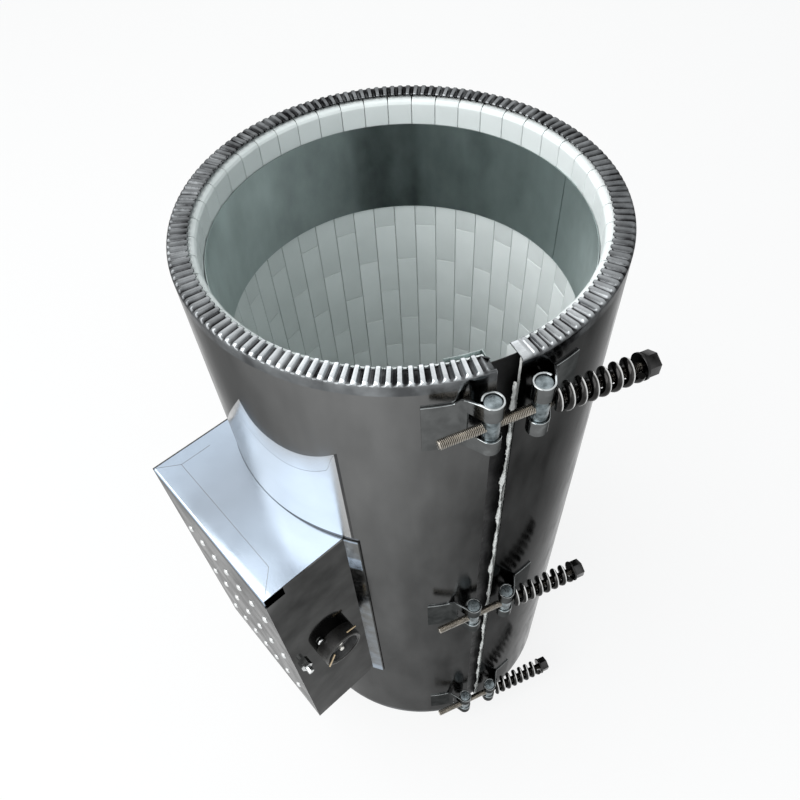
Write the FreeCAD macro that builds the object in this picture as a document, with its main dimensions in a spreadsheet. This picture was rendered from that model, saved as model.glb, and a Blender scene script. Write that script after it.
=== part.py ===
import FreeCAD, Part
import math
import os
import re
import Sketcher

# Ceramic band heater: a clamp-on barrel heater with a terminal box on its side.
# Frame: the bore's axis is Z, the bottom rim's crests stand on z = 0, the terminal box looks along -X,
# and the split of the band is on the -Y side, turned by seam_turn about Z.

doc = FreeCAD.newDocument("band_heater")
sheet = doc.addObject("Spreadsheet::Sheet", "Sizes")
derived = doc.addObject("App::VarSet", "Derived")
V = FreeCAD.Vector
UP = V(0, 0, 1)
CENTRE = V(0, 0, 0)

SIZES = [
    # band
    ("overall_height", 604.0),
    ("rim_radius", 142.5),
    ("steel_sheet", 0.8),
    ("seam_turn", -18.6),
    ("seam_gap", 14.4),
    # crimped rims
    ("lip_reach", 13.5),
    ("crest_height", 2.1),
    ("crest_width", 3.6),
    ("crest_count", 149.0),
    ("crest_slope", 2.2),
    ("crest_inset", 0.15),
    # ceramic lining
    ("lining_radius", 125.0),
    ("brick_thickness", 9.0),
    ("brick_length", 74.2),
    ("brick_joint", 0.3),
    ("column_count", 45.0),
    ("lining_gap", 16.8),
    ("end_play", 0.8),
    # heating coils and blanket
    ("coil_diameter", 3.3),
    ("coil_inset", 6.0),
    ("blanket_thickness", 3.0),
    ("blanket_play", 0.3),
    # retaining hoop
    ("hoop_height", 73.5),
    ("hoop_drop", 21.3),
    ("hoop_sheet", 0.5),
    ("hoop_play", 0.05),
    ("hoop_slit", 0.8),
    ("hoop_lap", 26.0),
    ("hoop_turn", -17.0),
    # seam sheets
    ("channel_sheet", 0.35),
    ("channel_play", 0.15),
    ("channel_flange", 12.0),
    ("channel_return", 21.0),
    ("tongue_sheet", 0.8),
    ("tongue_overlap", 5.4),
    # clamps
    ("clamp_top_drop", 30.5),
    ("clamp_middle", 308.0),
    ("clamp_bottom", 57.0),
    ("pin_offset", 14.7),
    ("pin_stand", 10.0),
    ("pin_diameter", 10.0),
    ("pin_above", 19.5),
    ("pin_below", 24.5),
    ("strap_sheet", 1.3),
    ("strap_height", 41.0),
    ("strap_reach", 40.5),
    ("strap_window", 17.6),
    ("strap_neck", 16.0),
    ("strap_bend", 5.0),
    ("eye_play", 0.05),
    ("eye_opening", 52.0),
    ("screw_diameter", 6.0),
    ("thread_play", 0.05),
    ("shank_play", 0.3),
    ("screw_tip", 45.5),
    ("spring_length", 56.6),
    ("spring_diameter", 16.0),
    ("spring_wire", 2.2),
    ("spring_turns", 7.0),
    ("spring_seat", 0.2),
    ("washer_thickness", 1.6),
    ("washer_diameter", 16.5),
    ("head_height", 8.0),
    ("head_flats", 13.0),
    # terminal box
    ("box_reach", 193.7),
    ("box_near", 70.0),
    ("box_width", 145.4),
    ("box_bottom", 147.0),
    ("box_height", 280.0),
    ("box_sheet", 1.0),
    ("box_play", 0.3),
    ("box_flange", 12.0),
    ("notch_length", 16.0),
    ("notch_height", 9.0),
    ("dimple_rows", 3.0),
    ("dimple_columns", 7.0),
    ("dimple_pitch", 17.3),
    ("dimple_row_pitch", 81.0),
    ("dimple_drop", 68.0),
    ("dimple_radius", 3.0),
    ("dimple_height", 1.6),
    # inlet and earth screw
    ("inlet_inset", 39.2),
    ("inlet_rise", 140.0),
    ("inlet_radius", 18.0),
    ("inlet_hole_play", 0.5),
    ("inlet_out", 13.0),
    ("inlet_in", 15.0),
    ("inlet_flange", 25.5),
    ("inlet_flange_sheet", 3.0),
    ("inlet_wall", 2.8),
    ("inlet_recess", 17.0),
    ("contact_diameter", 4.8),
    ("contact_spacing", 13.0),
    ("contact_tail", 9.0),
    ("contact_short", 3.0),
    ("inlet_screw_offset", 21.6),
    ("inlet_screw_turn", 35.0),
    ("inlet_screw_diameter", 3.0),
    ("inlet_screw_head", 2.2),
    ("inlet_screw_end", 2.0),
    ("earth_inset", 8.2),
    ("earth_rise", 140.0),
    ("earth_diameter", 5.0),
    ("earth_out", 9.0),
    ("nut_flats", 8.0),
    ("nut_height", 4.0),
    # inside the box
    ("bush_spacing", 36.0),
    ("bush_rise", 103.0),
    ("bush_diameter", 9.0),
    ("bush_bore", 4.2),
    ("bush_play", 0.2),
    ("bush_out", 5.0),
    ("lead_diameter", 3.8),
    ("block_width", 62.0),
    ("block_height", 24.0),
    ("block_depth", 16.0),
    ("block_floor", 2.5),
    ("block_play", 0.2),
    ("stud_diameter", 5.0),
    ("stud_out", 6.0),
]

# Radii, heights and angles that follow from the driving sizes, each as a formula on them
FORMULAS = [
    ("shell_inner", "rim_radius - steel_sheet"),
    ("blanket_outer", "shell_inner - channel_play - channel_sheet - blanket_play"),
    ("blanket_inner", "blanket_outer - blanket_thickness"),
    ("brick_back", "lining_radius + brick_thickness"),
    ("crest_floor", "overall_height - crest_height"),
    ("lip_under", "crest_floor - steel_sheet"),
    ("lip_inner", "rim_radius - lip_reach"),
    ("lining_bottom", "crest_height + steel_sheet + end_play"),
    ("lining_top", "overall_height - lining_bottom"),
    ("seam_sweep", "180 / pi * seam_gap / rim_radius"),
    ("seam_start", "seam_turn - 90 + seam_sweep / 2"),
    ("lining_sweep", "180 / pi * lining_gap / rim_radius"),
    ("lining_start", "seam_turn - 90 + lining_sweep / 2"),
    ("lining_end", "seam_turn - 90 - lining_sweep / 2"),
    ("column_pitch", "(360 - lining_sweep) / column_count"),
    ("hoop_outer", "lining_radius - hoop_play - hoop_sheet"),
    ("hoop_inner", "hoop_outer - hoop_sheet"),
    ("hoop_top", "overall_height - hoop_drop"),
    ("slit_sweep", "180 / pi * hoop_slit / hoop_inner"),
    ("lap_sweep", "180 / pi * hoop_lap / hoop_outer"),
    ("channel_inner", "lining_radius - channel_sheet"),
    ("channel_outer", "shell_inner - channel_play"),
    ("joint_sweep", "180 / pi * brick_joint / lining_radius"),
    ("web_sweep", "180 / pi * channel_sheet / lining_radius"),
    ("flange_sweep", "180 / pi * channel_flange / channel_outer"),
    ("return_sweep", "180 / pi * channel_return / channel_inner"),
    ("tongue_inner", "brick_back + brick_joint"),
    ("tongue_sweep", "180 / pi * (lining_gap + tongue_overlap) / rim_radius - joint_sweep - web_sweep"),
    ("pin_radius", "rim_radius + pin_stand"),
    ("clamp_top", "overall_height - clamp_top_drop"),
    ("spring_start", "pin_offset + pin_diameter / 2 + spring_seat"),
    ("washer_start", "spring_start + spring_length + spring_seat"),
    ("head_start", "washer_start + washer_thickness"),
    ("box_top", "box_bottom + box_height"),
    ("far_side", "box_width - box_near"),
    ("cover_near", "box_sheet + box_play - box_near"),
    ("cover_far", "far_side - box_sheet - box_play"),
    ("shell_clear", "rim_radius + box_play"),
    ("foot_sweep", "180 / pi * box_flange / shell_clear"),
    ("near_foot", "180 + asin((box_near - box_sheet) / shell_clear) / 1 deg"),
    ("far_foot", "180 - asin((far_side - box_sheet) / shell_clear) / 1 deg"),
    ("inlet_deep", "inlet_inset - box_reach"),
    ("inlet_level", "box_bottom + inlet_rise"),
    ("earth_deep", "earth_inset - box_reach"),
    ("earth_level", "box_bottom + earth_rise"),
    ("bush_level", "box_bottom + bush_rise"),
    ("lead_start", "brick_back + coil_diameter + brick_joint"),
    ("block_outer", "box_reach - box_sheet - block_play"),
    ("block_inner", "block_outer - block_depth"),
    ("lead_end", "block_outer - block_floor"),
]

for row, (name, number) in enumerate(SIZES, start=1):
    sheet.set(f"A{row}", name)
    sheet.set(f"B{row}", str(number))
    sheet.setAlias(f"B{row}", name)
doc.recompute()
OWNERS = {name: "Sizes" for name, _ in SIZES}
OWNERS.update({name: "Derived" for name, _ in FORMULAS})


def bound(formula):
    """The formula with each name pointing at its cell or at its derived value."""
    return re.sub(r"[a-z]+(?:_[a-z]+)+", lambda found: f"{OWNERS[found[0]]}.{found[0]}", formula)


for name, formula in FORMULAS:
    derived.addProperty("App::PropertyFloat", name)
    derived.setExpression(name, bound(formula))
doc.recompute()


class Numbers:
    """Sizes and derived values as attributes, for the shapes that are worked out point by point."""

    def __init__(self):
        for name, _ in SIZES:
            setattr(self, name, float(sheet.get(name)))
        for name, _ in FORMULAS:
            setattr(self, name, float(getattr(derived, name)))


S = Numbers()
CLAMPS = {"top": "clamp_top", "middle": "clamp_middle", "bottom": "clamp_bottom"}
SIDES = {"left": -1, "right": 1}
DIRECTIONS = {
    "x": FreeCAD.Rotation(V(0, 1, 0), 90),
    "y": FreeCAD.Rotation(V(1, 0, 0), -90),
    "z": FreeCAD.Rotation(),
}

# Sides of the regular sections that stand for small round bars and for the holes round them
PIN_SIDES = 14
HOLE_SIDES = 8
BAR_SIDES = 8
INLET_SIDES = 16

parts = []


def keep(item, label):
    """Marks a document object as a finished sub-part."""
    item.Label = label
    parts.append(item)
    return item


def turn_to(item, formula):
    """Turns an object about Z by a formula's angle."""
    item.Placement = FreeCAD.Placement(CENTRE, FreeCAD.Rotation(UP, 1))
    item.setExpression("Placement.Rotation.Angle", bound(formula))
    return item


def place_at(item, position):
    """Ties an object's position to three formulas."""
    for axis, formula in zip("xyz", position):
        item.setExpression(f"Placement.Base.{axis}", bound(formula))
    return item


def block(name, low, spans):
    """Box from its low corner, with its spans along X, Y and Z."""
    item = doc.addObject("Part::Box", name)
    for prop, formula in zip(("Length", "Width", "Height"), spans):
        item.setExpression(prop, bound(formula))
    return place_at(item, low)


def cylinder(name, radius, length, start, direction="z"):
    """Round bar from its start point along one axis."""
    item = doc.addObject("Part::Cylinder", name)
    item.setExpression("Radius", bound(radius))
    item.setExpression("Height", bound(length))
    item.Placement.Rotation = DIRECTIONS[direction]
    return place_at(item, start)


def prism(name, sides, radius, length, start, direction="z"):
    """Bar of regular section from its start point along one axis, its corners on the radius."""
    item = doc.addObject("Part::Prism", name)
    item.Polygon = sides
    item.setExpression("Circumradius", bound(radius))
    item.setExpression("Height", bound(length))
    item.Placement.Rotation = DIRECTIONS[direction]
    return place_at(item, start)


def cut(name, base, tool):
    """One object less another."""
    item = doc.addObject("Part::Cut", name)
    item.Base = base
    item.Tool = tool
    return item


def fuse(name, pieces):
    """Several objects joined into one solid."""
    item = doc.addObject("Part::MultiFuse", name)
    item.Shapes = pieces
    return item


def group(name, pieces):
    """Several objects side by side in one shape."""
    item = doc.addObject("Part::Compound", name)
    item.Links = pieces
    return item


def worked_out(name, shape):
    """Shape that is built point by point from the sizes."""
    item = doc.addObject("Part::Feature", name)
    item.Shape = shape
    return item


def profile(body, name, role, corners):
    """Closed sketch on one of the body's own planes, each corner tied to a pair of formulas."""
    sketch = body.newObject("Sketcher::SketchObject", name)
    plane = [item for item in body.Origin.OriginFeatures if item.Role == role][0]
    sketch.AttachmentSupport = (plane, [""])
    sketch.MapMode = "FlatFace"
    count = len(corners)
    first_guess = [polar(S.rim_radius / 2, 360 * k / count, V(S.rim_radius, S.rim_radius, 0)) for k in range(count)]
    for index in range(count):
        sketch.addGeometry(Part.LineSegment(first_guess[index], first_guess[(index + 1) % count]), False)
    for index in range(count):
        sketch.addConstraint(Sketcher.Constraint("Coincident", index, 2, (index + 1) % count, 1))
    for index, pair in enumerate(corners):
        for kind, formula in zip(("DistanceX", "DistanceY"), pair):
            place = sketch.addConstraint(Sketcher.Constraint(kind, -1, 1, index, 1, S.rim_radius))
            sketch.setExpression(f"Constraints[{place}]", bound(formula))
    return sketch


def rectangle(inner, outer, low, high):
    """Corners of a rectangle in radius and height."""
    return [(inner, low), (outer, low), (outer, high), (inner, high)]


def revolved(name, corners, start, sweep):
    """Body whose profile in radius and height turns about Z from the start angle on."""
    body = doc.addObject("PartDesign::Body", name)
    sketch = profile(body, f"{name}_profile", "XZ_Plane", corners)
    turn = body.newObject("PartDesign::Revolution", f"{name}_turn")
    turn.Profile = sketch
    turn.ReferenceAxis = (sketch, ["V_Axis"])
    turn.setExpression("Angle", bound(sweep))
    return turn_to(body, start)


def polygon_face(points):
    """Plane face through these corner points."""
    return Part.Face(Part.makePolygon(points + points[:1]))


def polar(radius, degrees, centre=CENTRE):
    """Point at this radius and azimuth about a centre."""
    angle = math.radians(degrees)
    return centre + V(radius * math.cos(angle), radius * math.sin(angle), 0)


# Outer shell: one rolled sheet with its rims turned in and crimped into radial crests
def rim_crests():
    """Radial crests that stand on both lips, each with its outer end sloped."""
    inner = S.lip_inner + S.crest_inset
    outer = S.rim_radius - S.crest_inset
    sweep = 360 - S.seam_sweep
    crests = []
    for top, floor in ((S.overall_height, S.crest_floor), (0, S.crest_height)):
        side_view = [V(inner, 0, floor), V(inner, 0, top), V(outer - S.crest_slope, 0, top), V(outer, 0, floor)]
        first = polygon_face(side_view).extrude(V(0, S.crest_width, 0))
        first.translate(V(0, -S.crest_width / 2, 0))
        for index in range(int(S.crest_count)):
            crest = first.copy()
            crest.rotate(CENTRE, UP, S.seam_start + (index + 0.5) * sweep / int(S.crest_count))
            crests.append(crest)
    return Part.makeCompound(crests)


rolled_wall = revolved(
    "rolled_wall",
    [
        ("lip_inner", "lip_under"),
        ("shell_inner", "lip_under"),
        ("shell_inner", "crest_height + steel_sheet"),
        ("lip_inner", "crest_height + steel_sheet"),
        ("lip_inner", "crest_height"),
        ("rim_radius", "crest_height"),
        ("rim_radius", "crest_floor"),
        ("lip_inner", "crest_floor"),
    ],
    "seam_start",
    "360 - seam_sweep",
)
crimped_wall = fuse("crimped_wall", [rolled_wall, worked_out("rim_crests", rim_crests())])
crimped_wall.Refine = False
lead_holes = group(
    "lead_holes",
    [
        cylinder(
            f"lead_hole_{side}",
            "bush_diameter / 2 + bush_play",
            "rim_radius",
            ("-1.5 * rim_radius", f"{sign} * bush_spacing / 2", "bush_level"),
            "x",
        )
        for side, sign in SIDES.items()
    ],
)
shell = keep(cut("shell", crimped_wall, lead_holes), "outer_shell")
shell.Refine = False

# Insulation blanket between the coils and the shell: it lies flat over each column and is cut at the seam
blanket_span = "lining_top - lining_bottom"
mat_outside = prism("mat_outside", int(S.column_count), "blanket_outer", blanket_span, ("0", "0", "lining_bottom"))
mat_inside = prism("mat_inside", int(S.column_count), "blanket_inner", blanket_span, ("0", "0", "lining_bottom"))
mat_slot = block("mat_slot", ("0", "-lining_gap / 2", "lining_bottom"), ("rim_radius", "lining_gap", blanket_span))
mat_gap = turn_to(group("mat_gap", [mat_slot]), "seam_turn - 90")
keep(cut("blanket", mat_outside, group("mat_cuts", [mat_inside, mat_gap, lead_holes])), "insulation_blanket")


# Ceramic lining: columns of flat-faced bricks with staggered cross joints
def column_angles():
    """Azimuth of each brick column, from the seam's right side round to its left side."""
    return [S.lining_start + (index + 0.5) * S.column_pitch for index in range(int(S.column_count))]


def brick_ends(staggered):
    """Low and high ends of the bricks in one column, counted down from the top."""
    ends = []
    high = S.lining_top
    length = S.brick_length / 2 if staggered else S.brick_length
    shortest = S.brick_thickness / 3
    while high - S.lining_bottom > shortest:
        low = max(high - length, S.lining_bottom)
        ends.append((low, high))
        high = low - S.brick_joint
        length = S.brick_length
    return ends


def in_columns(inner, outer, half, ends_of):
    """A block in each column for every pair of ends."""
    blocks = []
    for index, angle in enumerate(column_angles()):
        for low, high in ends_of(index):
            piece = Part.makeBox(outer - inner, 2 * half, high - low, V(inner, -half, low))
            piece.rotate(CENTRE, UP, angle)
            blocks.append(piece)
    return Part.makeCompound(blocks)


brick_half = S.lining_radius * math.tan(math.radians(S.column_pitch / 2)) - S.brick_joint / 2
bricks = in_columns(S.lining_radius, S.brick_back, brick_half, lambda index: brick_ends(index % 2 == 0))
keep(worked_out("bricks", bricks), "ceramic_bricks")

# Heating coils: the square envelope of the wound wire behind each column, flat on the bricks' backs
coil_ends = (S.lining_bottom + S.coil_inset, S.lining_top - S.coil_inset)
coils = in_columns(S.brick_back, S.brick_back + S.coil_diameter, S.coil_diameter / 2, lambda index: [coil_ends])
keep(worked_out("coils", coils), "heating_coils")

# Retaining hoop: a thin strip sprung against the bricks near the top, with a lap strip behind its slit
strip = revolved(
    "hoop_strip",
    rectangle("hoop_inner", "hoop_outer", "hoop_top - hoop_height", "hoop_top"),
    "hoop_turn + slit_sweep / 2",
    "360 - slit_sweep",
)
lap = revolved(
    "hoop_lap_strip",
    rectangle("hoop_outer", "hoop_outer + hoop_sheet", "hoop_top - hoop_height", "hoop_top"),
    "hoop_turn - lap_sweep / 2",
    "lap_sweep",
)
keep(fuse("hoop", [strip, lap]), "inner_hoop")

# Seam sheets: a channel that closes the lining's left end, and the tongue that bridges the gap
channel_web = revolved(
    "channel_web",
    rectangle("channel_inner", "channel_outer", "lining_bottom", "lining_top"),
    "lining_end + joint_sweep",
    "web_sweep",
)
channel_back = revolved(
    "channel_back",
    rectangle("channel_outer - channel_sheet", "channel_outer", "lining_bottom", "lining_top"),
    "lining_end + joint_sweep - flange_sweep",
    "flange_sweep",
)
channel_face = revolved(
    "channel_face",
    rectangle("channel_inner", "lining_radius", "lining_bottom", "lining_top"),
    "lining_end + joint_sweep - return_sweep",
    "return_sweep",
)
keep(fuse("channel", [channel_web, channel_back, channel_face]), "end_channel")
tongue = revolved(
    "tongue",
    rectangle("tongue_inner", "tongue_inner + tongue_sheet", "lining_bottom", "lining_top"),
    "lining_end + joint_sweep + web_sweep",
    "tongue_sweep",
)
keep(tongue, "seam_tongue")


# Clamps across the seam: rolled straps, barrel pins, screw, washer and spring
def bend_corners(centre, radius, start, end, steps):
    """Corners of a bend from one azimuth to another about a centre."""
    return [polar(radius, start + (end - start) * step / steps, centre) for step in range(steps + 1)]


def strap(side, height):
    """Plate welded to the shell, an S-shaped neck and an eye rolled round the barrel pin."""
    half = S.strap_sheet / 2
    plate = S.rim_radius + half
    eye = S.pin_diameter / 2 + S.eye_play + half
    pin = V(S.pin_offset, -S.pin_radius, 0)
    far = -90 + math.degrees(S.strap_reach / S.rim_radius)
    near = -90 + math.degrees((S.pin_offset + S.strap_neck) / S.rim_radius)
    bend = polar(plate + S.strap_bend, near)
    apart = pin - bend
    heading = math.degrees(math.atan2(apart.y, apart.x)) % 360
    travel = heading + math.degrees(math.asin((S.strap_bend + eye) / apart.Length))
    wrap = 360 - S.eye_opening
    bend_steps = 3
    eye_steps = 11
    wider = 1 / math.cos(math.radians(wrap / eye_steps / 2))

    def side_corners(offset, stretch):
        """The sheet's line from the plate's near end to the eye's end, moved outward by this much."""
        neck = bend_corners(bend, S.strap_bend - offset, near + 180, travel - 90, bend_steps)
        return neck + bend_corners(pin, (eye + offset) * stretch, travel + 90, travel + 90 - wrap, eye_steps)

    outer = side_corners(half, 1)
    inner = side_corners(-half, wider)
    outline = [
        Part.Arc(polar(plate + half, far), polar(plate + half, (far + near) / 2), polar(plate + half, near)).toShape(),
        Part.makePolygon(outer + inner[::-1]),
        Part.Arc(polar(plate - half, near), polar(plate - half, (far + near) / 2), polar(plate - half, far)).toShape(),
        Part.makePolygon([polar(plate - half, far), polar(plate + half, far)]),
    ]
    edges = [edge for piece in outline for edge in piece.Edges]
    sheet_metal = Part.Face(Part.Wire(Part.__sortEdges__(edges))).extrude(V(0, 0, S.strap_height))
    sheet_metal.translate(V(0, 0, height - S.strap_height / 2))
    clear = (eye + half) * wider + S.eye_play
    window = Part.makeBox(
        S.strap_neck + 2 * clear,
        3 * clear,
        S.strap_window,
        V(pin.x - clear, pin.y - 2 * clear, height - S.strap_window / 2),
    )
    sheet_metal = sheet_metal.cut(window)
    return sheet_metal if side > 0 else sheet_metal.mirror(CENTRE, V(1, 0, 0))


def spring(height):
    """Open compression spring as a faceted helix of three-sided section."""
    steps_per_turn = 8
    steps = int(round(S.spring_turns * steps_per_turn))
    mean = (S.spring_diameter - S.spring_wire) / 2
    half = S.spring_wire / 2
    travel = S.spring_length - S.spring_wire
    rings = []
    for step in range(steps + 1):
        share = step / steps
        angle = 2 * math.pi * S.spring_turns * share
        along = S.spring_start + half + travel * share
        ring = []
        for corner in range(3):
            reach = mean + half * math.cos(2 * math.pi * corner / 3)
            forward = half * math.sin(2 * math.pi * corner / 3)
            ring.append(
                V(along + forward, -S.pin_radius + reach * math.cos(angle), height + reach * math.sin(angle))
            )
        rings.append(ring)
    faces = [polygon_face(rings[0][::-1]), polygon_face(rings[-1])]
    for one, other in zip(rings, rings[1:]):
        for k in range(3):
            n = (k + 1) % 3
            faces.append(polygon_face([one[k], one[n], other[k]]))
            faces.append(polygon_face([one[n], other[n], other[k]]))
    skin = Part.makeShell(faces)
    skin.sewShape()
    coil = Part.makeSolid(skin)
    if coil.Volume < 0:
        coil.reverse()
    return coil


for side, sign in SIDES.items():
    pins = []
    straps = []
    play = "shank_play" if sign > 0 else "thread_play"
    for level_name, level in CLAMPS.items():
        straps.append(strap(sign, getattr(S, level)))
        bar = prism(
            f"pin_bar_{side}_{level_name}",
            PIN_SIDES,
            "pin_diameter / 2",
            "pin_below + pin_above",
            (f"{sign} * pin_offset", "-pin_radius", f"{level} - pin_below"),
        )
        cross = prism(
            f"pin_hole_{side}_{level_name}",
            HOLE_SIDES,
            f"(screw_diameter / 2 + {play}) / cos(180 / {HOLE_SIDES})",
            "2 * pin_diameter",
            (f"{sign} * pin_offset - pin_diameter", "-pin_radius", level),
            "x",
        )
        pins.append(cut(f"pin_{side}_{level_name}", bar, cross))
    keep(turn_to(worked_out(f"straps_{side}", Part.makeCompound(straps)), "seam_turn"), f"clamp_straps_{side}")
    keep(turn_to(group(f"pins_{side}", pins), "seam_turn"), f"barrel_pins_{side}")
for level_name, level in CLAMPS.items():
    shank = cylinder(
        f"shank_{level_name}",
        "screw_diameter / 2",
        "screw_tip + head_start",
        ("-screw_tip", "-pin_radius", level),
        "x",
    )
    screw_head = prism(
        f"head_{level_name}",
        6,
        "head_flats / sqrt(3)",
        "head_height",
        ("head_start", "-pin_radius", level),
        "x",
    )
    disc = prism(
        f"disc_{level_name}",
        PIN_SIDES,
        "washer_diameter / 2",
        "washer_thickness",
        ("washer_start", "-pin_radius", level),
        "x",
    )
    disc_hole = prism(
        f"disc_hole_{level_name}",
        HOLE_SIDES,
        f"(screw_diameter / 2 + shank_play) / cos(180 / {HOLE_SIDES})",
        "washer_thickness",
        ("washer_start", "-pin_radius", level),
        "x",
    )
    keep(turn_to(fuse(f"screw_{level_name}", [shank, screw_head]), "seam_turn"), f"clamp_screw_{level_name}")
    keep(turn_to(cut(f"washer_{level_name}", disc, disc_hole), "seam_turn"), f"clamp_washer_{level_name}")
    coil = worked_out(f"spring_{level_name}", spring(getattr(S, level)))
    keep(turn_to(coil, "seam_turn"), f"clamp_spring_{level_name}")

# Terminal box: folded cover with pressed dimples, and two side plates with flanges on the shell
behind_shell = cylinder("behind_shell", "shell_clear", "box_top + box_bottom", ("0", "0", "0"))


def dome(y, z):
    """Six-sided pressed dome on the outer face."""
    rings = []
    for depth, radius in ((0, S.dimple_radius), (S.dimple_height, S.dimple_radius / 2)):
        spread = [polar(radius, 60 * k) for k in range(6)]
        rings.append([V(-S.box_reach - depth, y + point.x, z + point.y) for point in spread])
    foot, crown = rings
    faces = [polygon_face(foot), polygon_face(crown)]
    for k in range(6):
        n = (k + 1) % 6
        faces.append(polygon_face([foot[k], foot[n], crown[n], crown[k]]))
    skin = Part.makeShell(faces)
    skin.sewShape()
    solid = Part.makeSolid(skin)
    if solid.Volume < 0:
        solid.reverse()
    return solid


def dimples():
    """Rows of pressed domes, centred across the cover."""
    middle = (S.cover_near + S.cover_far) / 2
    domes = []
    for row in range(int(S.dimple_rows)):
        for column in range(int(S.dimple_columns)):
            along = (column - (S.dimple_columns - 1) / 2) * S.dimple_pitch
            domes.append(dome(middle + along, S.box_top - S.dimple_drop - row * S.dimple_row_pitch))
    return Part.makeCompound(domes)


cover_corners = [
    ("0", "box_top"),
    ("box_reach", "box_top"),
    ("box_reach", "box_bottom"),
    ("0", "box_bottom"),
    ("0", "box_bottom + box_sheet"),
    ("box_reach - box_sheet", "box_bottom + box_sheet"),
    ("box_reach - box_sheet", "box_top - box_sheet"),
    ("0", "box_top - box_sheet"),
]
cover_body = doc.addObject("PartDesign::Body", "cover_body")
cover_sketch = profile(cover_body, "cover_profile", "XZ_Plane", cover_corners)
cover_pad = cover_body.newObject("PartDesign::Pad", "cover_pad")
cover_pad.Profile = cover_sketch
cover_pad.setExpression("Length", bound("cover_far - cover_near"))
cover_body.Placement = FreeCAD.Placement(CENTRE, FreeCAD.Rotation(UP, 180))
place_at(cover_body, ("0", "cover_near", "0"))
cover_sheet = cut("cover_sheet", cover_body, behind_shell)
keep(fuse("cover", [cover_sheet, worked_out("cover_dimples", dimples())]), "box_cover")


def side_plate(name, low, foot_start):
    """Side wall trimmed to the shell, with a flange that lies along the shell, away from the box."""
    wall = block(f"{name}_wall", ("-box_reach", low, "box_bottom"), ("box_reach", "box_sheet", "box_height"))
    flange = revolved(
        f"{name}_flange",
        rectangle("shell_clear", "shell_clear + box_sheet", "box_bottom", "box_top"),
        foot_start,
        "foot_sweep",
    )
    return fuse(f"{name}_sheet", [cut(f"{name}_trimmed", wall, behind_shell), flange])


def across_plate(name, sides, radius, out, within, deep, level):
    """Bar across the near plate, from this far outside it to this far inside."""
    start = (deep, f"-box_near - ({out})", level)
    return prism(name, sides, radius, f"({out}) + ({within})", start, "y")


def inlet_screw_place(sign):
    """Formulas of a flange screw's depth and level."""
    return (
        f"inlet_deep + {sign} * inlet_screw_offset * sin(inlet_screw_turn)",
        f"inlet_level - {sign} * inlet_screw_offset * cos(inlet_screw_turn)",
    )


def inlet_shank(name, sign, play):
    """Shank of one of the two flange screws."""
    within = "box_sheet + inlet_flange_sheet + inlet_screw_end"
    return across_plate(name, BAR_SIDES, f"inlet_screw_diameter / 2 + {play}", "0", within, *inlet_screw_place(sign))


def contact(name, sign, play, within):
    """Round contact pin along Y, one above the other in the socket."""
    level = f"inlet_level + {sign} * contact_spacing / 2"
    return across_plate(
        name, BAR_SIDES, f"contact_diameter / 2 + {play}", "inlet_out - contact_short", within, "inlet_deep", level
    )


keep(side_plate("far", "far_side - box_sheet", "far_foot - foot_sweep"), "box_far_plate")

# Near plate with its corner relief, inlet hole, inlet screw holes and earth screw hole
notch = block(
    "notch",
    ("-box_reach", "-box_near", "box_top - notch_height"),
    ("notch_length", "box_sheet", "notch_height"),
)
inlet_hole = across_plate(
    "inlet_hole", INLET_SIDES, "inlet_radius + inlet_hole_play", "1", "box_sheet + 1", "inlet_deep", "inlet_level"
)
earth_hole = across_plate(
    "earth_hole", BAR_SIDES, "earth_diameter / 2 + thread_play", "1", "box_sheet + 1", "earth_deep", "earth_level"
)
screw_holes = [inlet_shank(f"screw_hole_{side}", sign, "thread_play") for side, sign in SIDES.items()]
near_holes = group("near_holes", [notch, inlet_hole, earth_hole] + screw_holes)
keep(cut("near", side_plate("near", "-box_near", "near_foot"), near_holes), "box_near_plate")

# Power inlet: round insulating body with a flange behind the plate, an open socket and two contacts
inlet_barrel = across_plate("inlet_barrel", INLET_SIDES, "inlet_radius", "inlet_out", "inlet_in", "inlet_deep", "inlet_level")
inlet_flange = across_plate(
    "inlet_flange_disc",
    INLET_SIDES,
    "inlet_flange",
    "-box_sheet",
    "box_sheet + inlet_flange_sheet",
    "inlet_deep",
    "inlet_level",
)
socket = across_plate(
    "socket",
    INLET_SIDES,
    "inlet_radius - inlet_wall",
    "inlet_out",
    "inlet_recess - inlet_out",
    "inlet_deep",
    "inlet_level",
)
contact_bores = [contact(f"contact_bore_{side}", sign, "thread_play", "inlet_in") for side, sign in SIDES.items()]
flange_holes = [inlet_shank(f"flange_hole_{side}", sign, "thread_play") for side, sign in SIDES.items()]
inlet_cuts = group("inlet_cuts", [socket] + contact_bores + flange_holes)
keep(cut("inlet", fuse("inlet_blank", [inlet_barrel, inlet_flange]), inlet_cuts), "inlet_body")
contacts = [contact(f"contact_{side}", sign, "0", "inlet_in + contact_tail") for side, sign in SIDES.items()]
keep(group("contacts", contacts), "inlet_contacts")
inlet_fixings = []
for side, sign in SIDES.items():
    pan_head = across_plate(
        f"inlet_head_{side}", BAR_SIDES, "inlet_screw_diameter", "inlet_screw_head", "0", *inlet_screw_place(sign)
    )
    inlet_fixings.append(fuse(f"inlet_screw_{side}", [inlet_shank(f"inlet_shank_{side}", sign, "0"), pan_head]))
keep(group("inlet_fixings", inlet_fixings), "inlet_screws")

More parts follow.
